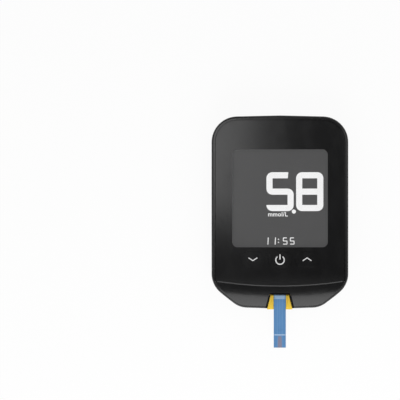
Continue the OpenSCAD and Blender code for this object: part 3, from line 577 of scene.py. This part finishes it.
@dataclass(frozen=True)
class Foam(Finish):
    """Closed-cell foam with fine open pores at its cut faces."""

    cell: float = 0.18

    def build(self) -> None:
        """Builds the material."""
        graph = self.graph()
        inputs = {"Vector": graph.place(), "Scale": 1.0 / (self.cell * MM)}
        pores = graph.add("TexVoronoi", {}, inputs, "Distance")
        colour = graph.mix(pores.ramp(0.0, 0.35, 1.0, 0.0), self.colour, self.shade(0.75))
        graph.close(colour, self.roughness, Specular_IOR_Level=0.08, Normal=graph.bump(pores, 0.02, 0.5))


@dataclass(frozen=True)
class TintedGlass(Finish):
    """Display glass that lets the backlight through evenly."""

    glow: float = 0.09

    def build(self) -> None:
        """Builds the material."""
        graph = self.graph()
        cloud = graph.noise(10.0, 1.0)
        level = self.glow * (0.97 + cloud * 0.06)
        graph.close(self.colour, self.roughness + cloud * 0.03, **graph.glow(level),
                    Specular_IOR_Level=0.05)


HOUSING = Moulding("satin_black_moulding", screen(11, 11, 12), 0.23, 0.36, 0.14, 0.003, 0.3)
PANEL = PolishedPanel("soft_gloss_black", screen(9, 9, 10), 0.18, 0.36)
# painted shadow: near-black with no reflection, for the piece that stands in for the shadow at the port's
# opening
PAINTED_SHADOW = Moulding("matt_black_moulding", screen(5, 5, 6), 0.9, 0.0, 0.14, 0.003, 0.0)
WINDOW = ClearWindow("clear_window_plastic", (0.02, 0.02, 0.02), 0.14)
FOAM = Foam("grey_foam", screen(60, 60, 61), 0.9)
GLASS = TintedGlass("backlit_glass", (0.03, 0.03, 0.03), 0.5)
WHITE = Moulding("white_moulding", screen(222, 221, 214), 0.45, 0.4, 0.2, 0.004, 0.05)
ZEBRA = StripedRubber("striped_rubber", screen(160, 96, 120), 0.6)
BOARD = BoardMask("green_solder_mask", screen(12, 74, 40), 0.35)
STEEL = Plated("bright_steel", (0.55, 0.56, 0.58), 0.24)
CHIP = Moulding("chip_compound", screen(34, 34, 36), 0.6, 0.35, 0.1, 0.006, 0.2)
CERAMIC = Moulding("fired_ceramic", screen(150, 128, 96), 0.5, 0.4, 0.1, 0.004, 0.2)
GOLD = Plated("gold_plating", (0.78, 0.55, 0.22), 0.22, (1.0, 1.0, 0.1))
YELLOW = Moulding("warm_yellow_moulding", screen(252, 212, 66), 0.5, 0.35, 0.14, 0.004, 0.05)
CARBON = Moulding("printed_carbon", screen(58, 58, 62), 0.7, 0.3, 0.06, 0.004, 0.1)
FIGURE = LitFigure("lit_figures", (0.5, 0.5, 0.5), 0.5)
INK = MarkInk("pale_mark_ink", screen(222, 222, 222), 0.5)


# ---- Modelling steps ----


class Part(Enum):
    """Kinds of mesh element, with the name that a mesh keeps them under."""

    POINT = "verts"
    EDGE = "edges"
    FACE = "faces"


def clear() -> None:
    """Deselects everything."""
    bpy.ops.object.select_all(action="DESELECT")


def take(*pieces: Piece) -> None:
    """Selects some pieces and nothing else, the first of them active.

    Args:
        pieces: The pieces.
    """
    clear()
    for piece in pieces:
        piece.select_set(True)
    bpy.context.view_layer.objects.active = pieces[0]


def named(name: str) -> Piece:
    """Names the active object.

    Args:
        name: The piece's name.

    Returns:
        The object.
    """
    piece = bpy.context.object
    piece.name = piece.data.name = name
    return piece


@contextmanager
def edit(piece: Piece) -> Iterator[None]:
    """Holds a piece in edit mode with all of it selected.

    Args:
        piece: The piece.

    Yields:
        Nothing; the block works on the piece.
    """
    take(piece)
    bpy.ops.object.mode_set(mode="EDIT")
    bpy.ops.mesh.select_all(action="SELECT")
    yield
    bpy.ops.object.mode_set(mode="OBJECT")


def pick(piece: Piece, part: Part, test: Callable[[Vector], bool]) -> int:
    """Selects the elements of the piece being edited whose middle passes a test.

    Args:
        piece: The piece in edit mode.
        part: The kind of element.
        test: Takes the middle in metres.

    Returns:
        How many passed.
    """
    bpy.context.tool_settings.mesh_select_mode = tuple(part is kind for kind in Part)
    bpy.ops.mesh.select_all(action="DESELECT")
    mesh = bmesh.from_edit_mesh(piece.data)
    count = 0
    for item in getattr(mesh, part.value):
        points = [item.co] if part is Part.POINT else [point.co for point in item.verts]
        if test(sum(points, Vector()) / len(points)):
            item.select_set(True)
            count += 1
    mesh.select_flush_mode()
    bmesh.update_edit_mesh(piece.data)
    return count


def settle(piece: Piece) -> None:
    """Puts the object at the origin and its place into the mesh."""
    take(piece)
    bpy.ops.object.transform_apply()


def modify(piece: Piece, kind: str, **settings: Any) -> None:
    """Adds a modifier and applies it.

    Args:
        piece: The piece.
        kind: The modifier's type.
        settings: Its settings.
    """
    take(piece)
    modifier = piece.modifiers.new(kind.lower(), kind)
    for key, value in settings.items():
        setattr(modifier, key, value)
    bpy.ops.object.modifier_apply(modifier=modifier.name)


def soften(piece: Piece, angle: float) -> None:
    """Shades a piece smooth, each face only with its neighbours that turn less than an angle.

    Large faces count for more, so flat ones stay flat beside a rounded edge.

    Args:
        piece: The piece.
        angle: The angle in degrees.
    """
    take(piece)
    bpy.ops.object.shade_smooth()
    faces = piece.data.polygons
    limit = math.cos(math.radians(angle))
    users: dict[int, list[int]] = {}
    for face in faces:
        for point in face.vertices:
            users.setdefault(point, []).append(face.index)
    normals = []
    for face in faces:
        for point in face.vertices:
            near = [faces[k] for k in users[point] if faces[k].normal.dot(face.normal) > limit]
            total = sum((other.normal * other.area for other in near), Vector())
            normals.append(total.normalized() if total.length > 0 else face.normal)
    piece.data.normals_split_custom_set(normals)


def plane(name: str, low: Place, high: Place, height: float) -> Piece:
    """A flat rectangle that faces up.

    Args:
        name: The piece's name.
        low: Its lowest x and y, in millimetres.
        high: Its highest x and y.
        height: Its z.

    Returns:
        The piece.
    """
    clear()
    middle = metres((low[0] + high[0]) / 2, (low[1] + high[1]) / 2, height)
    bpy.ops.mesh.primitive_plane_add(size=1.0, location=middle)
    piece = named(name)
    piece.scale = (*metres(high[0] - low[0], high[1] - low[1]), 1.0)
    settle(piece)
    return piece


def cut(x: Sequence[float] = (), y: Sequence[float] = ()) -> None:
    """Cuts the piece being edited along lines of constant x and of constant y.

    Args:
        x: The places of the first, in millimetres.
        y: The places of the second.
    """
    lines = [(metres(value, 0.0, 0.0), (1.0, 0.0, 0.0)) for value in x]
    lines += [(metres(0.0, value, 0.0), (0.0, 1.0, 0.0)) for value in y]
    for point, normal in lines:
        bpy.ops.mesh.select_all(action="SELECT")
        bpy.ops.mesh.bisect(plane_co=point, plane_no=normal, threshold=MERGE / 10)


def turn(degrees: float, centre: Sequence[float]) -> None:
    """Turns what is selected about Z, clockwise, because no window is open."""
    bpy.ops.transform.rotate(value=math.radians(degrees), orient_axis="Z", center_override=centre)


def join(pieces: Sequence[Piece], name: str) -> Piece:
    """Makes several pieces one.

    Args:
        pieces: The pieces.
        name: The new name.

    Returns:
        The joined piece.
    """
    take(*pieces)
    bpy.ops.object.join()
    return named(name)


def mirror(piece: Piece, x: float) -> None:
    """Mirrors a flat piece about a line of constant x, in millimetres.

    Args:
        piece: The piece.
        x: The line's place.
    """
    with edit(piece):
        bpy.ops.mesh.duplicate()
        bpy.ops.transform.resize(value=(-1.0, 1.0, 1.0), center_override=metres(x, 0.0, 0.0))
        bpy.ops.mesh.select_all(action="SELECT")
        bpy.ops.mesh.remove_doubles(threshold=MERGE)
        bpy.ops.mesh.normals_make_consistent()


def thicken(piece: Piece, thickness: float, side: float = 1.0) -> None:
    """Gives a flat piece a thickness in millimetres, upwards, or downwards where side is -1."""
    modify(piece, "SOLIDIFY", thickness=thickness * MM, offset=side)


def dress(piece: Piece, finish: Finish) -> None:
    """Gives a piece or a node a finish in each of its material slots.

    Args:
        piece: The object.
        finish: The finish.
    """
    slots = piece.data.materials
    if len(slots) == 0:
        slots.append(None)
    for number in range(len(slots)):
        slots[number] = finish.material()


def dress_nodes(**finishes: Finish) -> None:
    """Dresses nodes that keep their own shape.

    Args:
        finishes: The finish of each node, by the node's name.
    """
    for node, finish in finishes.items():
        dress(frame["nodes"][node], finish)
        LOG.info("%s dressed in %s", node, finish.name)


def seat(piece: Piece, finish: Finish, body: str) -> None:
    """Dresses a piece and ties it to a body.

    Args:
        piece: The piece.
        finish: Its finish.
        body: The body that it moves with.
    """
    dress(piece, finish)
    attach(piece, body)
    LOG.info("%s: %d faces, on %s", piece.name, len(piece.data.polygons), body)


def finished_copy(node: str, name: str, finish: Finish, edge: float = 0.0) -> Piece:
    """A node's own shape with its points joined, its sharp edges broken and its curves shaded smooth.

    Args:
        node: The node that the copy stands for.
        name: The copy's name.
        finish: Its finish.
        edge: The width of the broken edges in millimetres, 0 for none.

    Returns:
        The copy, riding on the node's body.
    """
    source = frame["nodes"][node]
    piece = bpy.data.objects.new(name, source.data.copy())
    bpy.context.scene.collection.objects.link(piece)
    piece.data.name = name
    with edit(piece):
        bpy.ops.mesh.remove_doubles(threshold=MERGE)
        bpy.ops.mesh.dissolve_limited(angle_limit=math.radians(FLAT_ANGLE))
    if edge > 0:
        modify(piece, "BEVEL", width=edge * MM, segments=3, limit_method="ANGLE",
               angle_limit=math.radians(SHARP_ANGLE))
    soften(piece, SMOOTH_ANGLE)
    seat(piece, finish, source["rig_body"])
    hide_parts(node)
    return piece


# ---- Sub-assemblies ----


@dataclass
class Casing:
    """Front and rear housing, face panel and battery door."""

    arc_centre: float = 157.2
    fillet_r: float = 0.36
    lip_w: float = 0.19
    lip_drop: float = 0.085
    lip_angle: float = 15.0
    skin: float = 0.001

    def build(self) -> None:
        """Dresses the casing's pieces."""
        for node, name in (("front_housing", "front_shell"), ("rear_housing", "rear_shell")):
            finished_copy(node, name, HOUSING)
        self.slope_lip(finished_copy("front_panel", "face_panel", PANEL))
        finished_copy("battery_door", "sliding_door", HOUSING)

    def slope_lip(self, panel: Piece) -> None:
        """Slopes the face's edge along the crease, where it catches the light.

        Args:
            panel: The face panel.
        """
        low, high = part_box("front_panel")
        centre = Vector((0.0, self.arc_centre * MM))
        reach = centre.y - low[1] - self.fillet_r * MM
        with edit(panel):
            pick(panel, Part.FACE, lambda at: at.z > high[2] - self.skin * MM)
            bpy.ops.mesh.inset(thickness=self.lip_w * MM)
            count = pick(panel, Part.POINT, lambda at: at.z > high[2] - self.fillet_r * MM
                         and (at.xy - centre).length > reach)
            bpy.ops.transform.translate(value=metres(0.0, 0.0, -self.lip_drop))
        soften(panel, self.lip_angle)
        LOG.info("%s: %d points of its lip lowered", panel.name, count)


class Figure(Enum):
    """Lit cells of a figure from its top row down, and the corners that are round.

    A corner is a column line and a row line, counted from the lower left.
    """

    FIVE = (("###", "#..", "###", "..#", "###"), ((0, 0), (3, 0), (3, 3), (0, 2), (0, 5)))
    EIGHT = (("###", "#.#", "###", "#.#", "###"), ((0, 0), (3, 0), (3, 5), (0, 5)))


@dataclass(frozen=True)
class Outline:
    """A figure's place and size in millimetres.

    A five's top bar ends short of its width by cut, and by slant more at its underside.
    """

    left: float
    low: float
    width: float
    height: float
    stroke: float
    radius: float
    cut: float
    slant: float

    @property
    def right(self) -> float:
        """Its right side."""
        return self.left + self.width

    @property
    def top(self) -> float:
        """Its upper side."""
        return self.low + self.height

    def columns(self) -> list[float]:
        """The lines between its cells from left to right."""
        return [self.left, self.left + self.stroke, self.right - self.stroke, self.right]

    def rows(self) -> list[float]:
        """The lines between its cells from below."""
        middle = self.low + self.height / 2
        return [self.low, self.low + self.stroke, middle - self.stroke / 2, middle + self.stroke / 2,
                self.top - self.stroke, self.top]


@dataclass
class Display:
    """Window, lit film and the figures on it."""

    height: float = 0.0
    film_gap: float = 0.004
    figure_t: float = 0.02
    large: Outline = Outline(-5.92, 0.49, 11.95, 17.07, 2.68, 2.6, cut=2.35, slant=0.25)
    eight_left: float = 7.12
    point_place: Place = (6.12, 0.28)
    point_r: float = 0.9
    point_gap: float = 0.42
    point_rise: float = 1.3
    ground_rise: float = 1.15
    unit_place: Place = (-5.3, -1.8)
    unit_size: float = 2.75
    unit_weight: float = 0.045
    unit_spacing: float = 1.04
    small: Outline = Outline(0.0, -14.2, 2.0, 3.1, 0.37, 0.36, cut=0.25, slant=0.05)
    clock_fives: Place = (1.3, 4.4)
    clock_ones: Place = (-5.38, -2.2)
    clock_lean: float = 3.0
    colon_x: float = -0.63
    colon_shares: Place = (0.31, 0.74)

    def build(self) -> None:
        """Dresses the display and makes its figures."""
        low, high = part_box("display_polariser")
        sides = [(corner[0] / MM, corner[1] / MM) for corner in (low, high)]
        film = LitFilm("lit_display_film", (0.03, 0.03, 0.03), 0.5, *sides)
        dress_nodes(display_window=WINDOW, display_polariser=film, display_front_glass=GLASS,
                    display_rear_glass=GLASS, window_gasket=FOAM, display_holder=WHITE,
                    zebra_connector=ZEBRA)
        self.height = high[2] / MM + self.film_gap
        self.finish(self.five("reading_five", self.large))
        self.finish(self.figure("reading_eight", Figure.EIGHT, replace(self.large, left=self.eight_left)))
        self.finish(self.disc("point_ground", self.point_r + self.point_gap), self.ground_rise, film)
        self.finish(self.disc("reading_point", self.point_r), self.point_rise)
        self.finish(self.unit_label())
        self.finish(self.clock())

    def finish(self, piece: Piece, rise: float = 1.0, finish: Finish = FIGURE) -> None:
        """Thickens a flat piece, whose height is rise against the others, and seats it."""
        thicken(piece, self.figure_t * rise)
        seat(piece, finish, BODY)

    def figure(self, name: str, figure: Figure, outline: Outline) -> Piece:
        """Cuts a figure out of a sheet.

        Args:
            name: The piece's name.
            figure: Which figure.
            outline: Its place and size.

        Returns:
            The flat piece.
        """
        cells, corners = figure.value
        columns, rows, stroke = outline.columns(), outline.rows(), outline.stroke
        piece = plane(name, (outline.left, outline.low), (outline.right, outline.top), self.height)
        dark = [((columns[c] + columns[c + 1]) / 2, (rows[r] + rows[r + 1]) / 2)
                for r, line in enumerate(reversed(cells)) for c, cell in enumerate(line) if cell == "."]
        round_places = [(columns[c], rows[r]) for c, r in corners]
        with edit(piece):
            cut(columns[1:-1], rows[1:-1])
            pick(piece, Part.FACE, lambda at: self.near(at, dark, stroke / 4))
            bpy.ops.mesh.delete(type="FACE")
            pick(piece, Part.POINT, lambda at: self.near(at, round_places, stroke / 9))
            bpy.ops.mesh.bevel(offset=outline.radius * MM, segments=8, affect="VERTICES")
        return piece

    @staticmethod
    def near(point: Vector, places: Sequence[Place], reach: float) -> bool:
        """Whether a point in metres lies within reach of any of the places in millimetres."""
        return any(abs(point.x / MM - x) < reach and abs(point.y / MM - y) < reach for x, y in places)

    def five(self, name: str, outline: Outline) -> Piece:
        """A five, whose top bar ends short of its full width.

        Args:
            name: The piece's name.
            outline: Its place and size.

        Returns:
            The flat piece.
        """
        piece = self.figure(name, Figure.FIVE, outline)
        ends = ((outline.top, outline.cut), (outline.top - outline.stroke, outline.cut + outline.slant))
        with edit(piece):
            for level, shift in ends:
                corner = [(outline.right, level)]
                pick(piece, Part.POINT, lambda at: self.near(at, corner, outline.stroke / 9))
                bpy.ops.transform.translate(value=metres(-shift, 0.0, 0.0))
        return piece

    def disc(self, name: str, radius: float) -> Piece:
        """A flat disc at the decimal point's place.

        Args:
            name: The piece's name.
            radius: Its radius in millimetres.

        Returns:
            The piece.
        """
        clear()
        place = metres(*self.point_place, self.height)
        bpy.ops.mesh.primitive_circle_add(vertices=32, radius=radius * MM, fill_type="NGON", location=place)
        piece = named(name)
        settle(piece)
        with edit(piece):
            bpy.ops.mesh.inset(thickness=radius * 0.4 * MM)
        return piece

    def unit_label(self) -> Piece:
        """The unit under the reading.

        Returns:
            The flat piece.
        """
        clear()
        bpy.ops.object.text_add(location=metres(*self.unit_place, self.height))
        words = bpy.context.object.data
        words.body = "mmol/L"
        words.size = self.unit_size * MM
        words.offset = self.unit_weight * MM
        words.space_character = self.unit_spacing
        words.resolution_u = 4
        bpy.ops.object.convert(target="MESH")
        piece = named("unit_label")
        settle(piece)
        return piece

    def clock(self) -> Piece:
        """The time of day in small figures along the lower border.

        Returns:
            The flat piece.
        """
        small = self.small
        parts = [self.five(f"clock_five_{k}", replace(small, left=left))
                 for k, left in enumerate(self.clock_fives)]
        middle = (small.low + small.top) / 2
        for number, left in enumerate(self.clock_ones):
            one = plane(f"clock_one_{number}", (left, small.low), (left + small.stroke, small.top),
                        self.height)
            with edit(one):
                cut(y=(middle,))
                bpy.ops.mesh.select_all(action="SELECT")
                turn(self.clock_lean, metres(left, middle, 0.0))
            parts.append(one)
        half = small.stroke * 0.6
        for number, share in enumerate(self.colon_shares):
            level = small.low + small.height * share
            dot = plane(f"clock_dot_{number}", (self.colon_x - half, level - half),
                        (self.colon_x + half, level + half), self.height)
            with edit(dot):
                bpy.ops.mesh.bevel(offset=half * 0.5 * MM, segments=4, affect="VERTICES")
            parts.append(dot)
        return join(parts, "clock_figures")


@dataclass
class Keypad:
    """The three keys and the marks printed on them."""

    mark_t: float = 0.012
    mark_gap: float = 0.002
    edge: float = 0.1
    top_depth: float = 0.15
    stroke: float = 0.5
    chevron_w: float = 4.15
    chevron_h: float = 1.65
    chevron_lift: float = 0.14
    chevron_stroke: float = 0.42
    ring_r: float = 1.85
    ring_open: float = 76.0
    ring_half_t: float = 0.002
    bar_start: float = 0.12
    bar_l: float = 2.3
    power_drop: float = 0.2

    def build(self) -> None:
        """Dresses the keys and makes their marks."""
        for key in ("down", "power", "up"):
            cap = finished_copy(f"key_{key}", f"{key}_key_cap", PANEL, self.edge)
            dress_nodes(**{f"plunger_{key}": CHIP})
            low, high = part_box(f"key_{key}")
            middle = ((low[0] + high[0]) / 2 / MM, (low[1] + high[1]) / 2 / MM)
            height = high[2] / MM - self.mark_t
            with edit(cap):
                pick(cap, Part.POINT, lambda at: at.z > high[2] - self.top_depth * MM)
                bpy.ops.transform.translate(value=metres(0.0, 0.0, -(self.mark_t + self.mark_gap)))
            mark = self.power_mark(middle, height) if key == "power" else self.chevron(key, middle, height)
            thicken(mark, self.mark_t)
            seat(mark, INK, f"{key}_key")

    def chevron(self, key: str, middle: Place, height: float) -> Piece:
        """An arrow head of two arms that points up or down.

        Args:
            key: Which key it is on.
            middle: The middle of the key, in millimetres.
            height: The level of its top.

        Returns:
            The flat piece.
        """
        way = 1.0 if key == "up" else -1.0
        stroke = self.chevron_stroke
        rise = self.chevron_h - stroke
        run = self.chevron_w / 2 - stroke / 2
        length = math.hypot(rise, run) + stroke
        tip = middle[1] + self.chevron_lift + way * rise / 2
        far = middle[0] + length
        arm = plane(f"{key}_chevron", (middle[0], tip - stroke / 2), (far, tip + stroke / 2), height)
        centre = metres(middle[0], tip, height)
        with edit(arm):
            pick(arm, Part.POINT, lambda at: at.x / MM > far - stroke / 9)
            bpy.ops.mesh.bevel(offset=stroke * 0.48 * MM, segments=5, affect="VERTICES")
            bpy.ops.mesh.select_all(action="SELECT")
            bpy.ops.transform.translate(value=metres(-stroke * 0.75, 0.0, 0.0))
            turn(way * math.degrees(math.atan2(rise, run)), centre)
            bpy.ops.mesh.bisect(plane_co=centre, plane_no=(1.0, 0.0, 0.0), clear_inner=True)
        mirror(arm, middle[0])
        return arm

    def power_mark(self, middle: Place, height: float) -> Piece:
        """An open ring with an upright bar, as on any switch.

        Args:
            middle: The middle of the key, in millimetres.
            height: The level of its top.

        Returns:
            The flat piece.
        """
        x, y = middle[0], middle[1] - self.power_drop
        centre = metres(x, y, height)
        half = self.stroke / 2
        ring = plane("power_ring", (x - self.ring_half_t, y + self.ring_r - half),
                     (x + self.ring_half_t, y + self.ring_r + half), height)
        with edit(ring):
            turn(self.ring_open / 2, centre)
            bpy.ops.mesh.delete(type="ONLY_FACE")
            edges = bmesh.from_edit_mesh(ring.data).edges
            first = max(edges, key=lambda edge: edge.calc_length()).verts
            start = (first[0].co + first[1].co) / 2
            pick(ring, Part.EDGE, lambda at: (at - start).length < MERGE / 10)
            angle = math.radians(360 - self.ring_open)
            bpy.ops.mesh.spin(steps=44, angle=angle, center=centre, axis=(0.0, 0.0, 1.0))
        low = y + self.ring_r * self.bar_start
        bar = plane("power_bar", (x - half, low), (x + half, low + self.bar_l), height)
        with edit(bar):
            bpy.ops.mesh.bevel(offset=self.stroke * 0.4 * MM, segments=5, affect="VERTICES")
        return join([ring, bar], "power_mark")


@dataclass
class StripPort:
    """Yellow tray, sprung connector and the test strip in it."""

    band: Place = (-38.2, -36.0)
    lip_y: Place = (-36.26, -35.62)
    lip_z: Place = (10.0, 10.172)
    lip_proud: float = 0.03
    lip_half_w: float = 4.45
    lip_t: float = 0.3
    lip_edge: float = 0.05
    tray_edge: float = 0.1
    film_edge: float = 0.03
    line: float = -54.0

    def build(self) -> None:
        """Dresses the port and the strip."""
        finished_copy("strip_tray", "port_tray", YELLOW, self.tray_edge)
        film = StripFilm("printed_strip_film", screen(87, 139, 191), 0.42, band=self.band, line=self.line)
        for node, name in (("strip_cover", "strip_top_film"), ("strip_base", "strip_base_film")):
            finished_copy(node, name, film, self.film_edge)
        dress_nodes(strip_connector=WHITE, strip_contacts=GOLD, strip_electrodes=CARBON)
        self.lip()

    def lip(self) -> None:
        """A near-black lip along the inner end of the port, over the strip, matt and without reflection:
        painted shadow of the port's opening.
        """
        low, high = self.lip_y
        piece = plane("port_lip", (-self.lip_half_w, low), (self.lip_half_w, high),
                      self.lip_z[1] + self.lip_proud)
        with edit(piece):
            pick(piece, Part.POINT, lambda at: at.y / MM < (low + high) / 2)
            bpy.ops.transform.translate(value=metres(0.0, 0.0, self.lip_z[0] - self.lip_z[1]))
        thicken(piece, self.lip_t, -1.0)
        modify(piece, "BEVEL", width=self.lip_edge * MM, segments=2, limit_method="ANGLE")
        # painted shadow: the lip is dressed near-black and without reflection so it stays dark
        seat(piece, PAINTED_SHADOW, BODY)


@dataclass
class Inside:
    """Circuit board and all that stands on it, the coin cell and the data socket."""

    cell_edge: float = 0.08

    def build(self) -> None:
        """Dresses the inner nodes."""
        dress_nodes(circuit_board=BOARD, board_screws=STEEL, processor_chip=CHIP, board_components=CERAMIC,
                    buzzer=CHIP, switch_housings=WHITE, switch_domes=STEEL, cell_spring_contact=GOLD,
                    cell_side_contact=GOLD, data_socket_shell=STEEL, data_socket_tongue=CHIP,
                    data_socket_contacts=GOLD)
        finished_copy("coin_cell", "button_cell", STEEL, self.cell_edge)


# ---- Studio ----


@dataclass(frozen=True)
class SoftLight:
    """A rectangular light, with its place, target and size in millimetres.

    Its level is how bright its face is, 1 being white. Glossy and diffuse tell which surfaces it lights.
    """

    name: str
    place: Point
    target: Point
    size: Place
    level: float
    glossy: bool = True
    diffuse: bool = True

    def hang(self) -> None:
        """Hangs the light and aims it."""
        clear()
        bpy.ops.object.light_add(type="AREA", location=metres(*self.place))
        lamp = named(self.name)
        aim = Vector(self.target) - Vector(self.place)
        lamp.rotation_euler = aim.to_track_quat("-Z", "Y").to_euler()
        width, length = metres(*self.size)
        lamp.data.shape = "RECTANGLE"
        lamp.data.size, lamp.data.size_y = width, length
        lamp.data.energy = self.level * math.pi * width * length
        lamp.visible_camera = False
        lamp.visible_glossy = self.glossy
        lamp.visible_diffuse = self.diffuse


LIGHTS = (
    SoftLight("highlight", (-139.0, 113.5, 262.0), (-139.0, 113.5, 0.0), (262.0, 233.0), 3.5,
              diffuse=False),
    SoftLight("chin_light", (0.0, -321.0, 167.0), (0.0, -55.0, -19.0), (300.0, 322.0), 2.9),
    SoftLight("side_light", (190.0, 60.0, 270.0), (30.0, 10.0, 9.0), (140.0, 260.0), 1.2, diffuse=False),
    SoftLight("fill", (120.0, 120.0, 560.0), (0.0, 0.0, 0.0), (500.0, 500.0), 0.56, glossy=False),
)


@dataclass
class Studio:
    """Camera, lights, world and floor."""

    lens: float = 300.0
    sensor: float = 36.0
    reach: Place = (10.0, 20000.0)
    pixel: float = 0.43878
    image: float = 400.0
    middle_px: Place = (280.0, 212.2)
    dark_above: float = 0.92
    bright_below: float = 0.5
    zenith: float = 0.184
    horizon: float = 0.76
    floor_half: float = 2000.0
    floor_drop: float = 0.02
    paper: float = 0.95
    shine: float = 0.93
    shade: Place = (13.2, 36.0)
    shade_y: float = 6.0
    lit: Place = (25.0, 56.0)
    lit_y: float = 18.0

    def build(self) -> None:
        """Sets the stage up."""
        self.camera()
        self.world()
        self.floor()
        for light in LIGHTS:
            light.hang()

    def camera(self) -> None:
        """Puts the camera straight over the photograph's middle."""
        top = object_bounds()[1][2] / MM
        distance = self.pixel * self.image * self.lens / self.sensor
        x = (self.image / 2 - self.middle_px[0]) * self.pixel
        y = (self.middle_px[1] - self.image / 2) * self.pixel
        clear()
        bpy.ops.object.camera_add(location=metres(x, y, top + distance))
        camera = named("photo_camera")
        camera.data.lens = self.lens
        camera.data.sensor_width = self.sensor
        camera.data.sensor_fit = "HORIZONTAL"
        camera.data.clip_start, camera.data.clip_end = metres(*self.reach)
        bpy.context.scene.camera = camera

    def world(self) -> None:
        """Lights the scene evenly from all round, and shows white to the camera."""
        world = bpy.data.worlds.new("studio")
        bpy.context.scene.world = world
        graph = Graph(world)
        direction = graph.add("TexCoord", {}, {}, "Generated")
        up = graph.add("SeparateXYZ", {}, {0: direction}, "Z")
        level = up.ramp(self.dark_above, self.bright_below, self.zenith, self.horizon)
        camera = graph.add("LightPath", {}, {}, "Is Camera Ray")
        strength = graph.add("Mix", {}, {0: camera, 2: level, 3: 1.0})
        sky = graph.add("Background", {}, {"Color": (1.0, 1.0, 1.0, 1.0), "Strength": strength})
        graph.end(sky, "World")

    def floor(self) -> None:
        """Lays a white floor that keeps the object's shadow and is open to views from below.

        Right under the meter it is plain paper to the camera and lets light from below through.
        """
        half = self.floor_half
        floor = plane("studio_floor", (-half, -half), (half, half), -self.floor_drop)
        graph = Graph(bpy.data.materials.new("white_floor"))
        x, y, _ = graph.axes()
        shaded = (abs(x) < self.shade[0]) * (abs(y - self.shade_y) < self.shade[1])
        lit = (abs(x) < self.lit[0]) * (abs(y - self.lit_y) < self.lit[1])
        camera = graph.add("LightPath", {}, {}, "Is Camera Ray")
        paper = graph.add("BsdfDiffuse", {}, {"Color": graph.rgba((self.paper,) * 3)})
        white = graph.add("Emission", {}, {})
        shine = camera * (1.0 - shaded) * self.shine
        above = graph.add("MixShader", {}, {0: shine, 1: paper, 2: white})
        back = graph.add("NewGeometry", {}, {}, "Backfacing")
        air = graph.add("BsdfTransparent", {}, {})
        through = back.maths("MAXIMUM", lit * (1.0 - camera))
        graph.end(graph.add("MixShader", {}, {0: through, 1: above, 2: air}))
        floor.data.materials.append(graph.owner)
        floor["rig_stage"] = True


def main() -> None:
    """Builds the looks in order."""
    logging.basicConfig(level=logging.INFO, format="%(name)s: %(message)s")
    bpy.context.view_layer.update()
    bpy.context.scene.view_settings.view_transform = "Standard"
    for assembly in (Casing(), Display(), Keypad(), StripPort(), Inside(), Studio()):
        assembly.build()
        LOG.info("%s built", type(assembly).__name__)


if __name__ == "__main__":
    main()
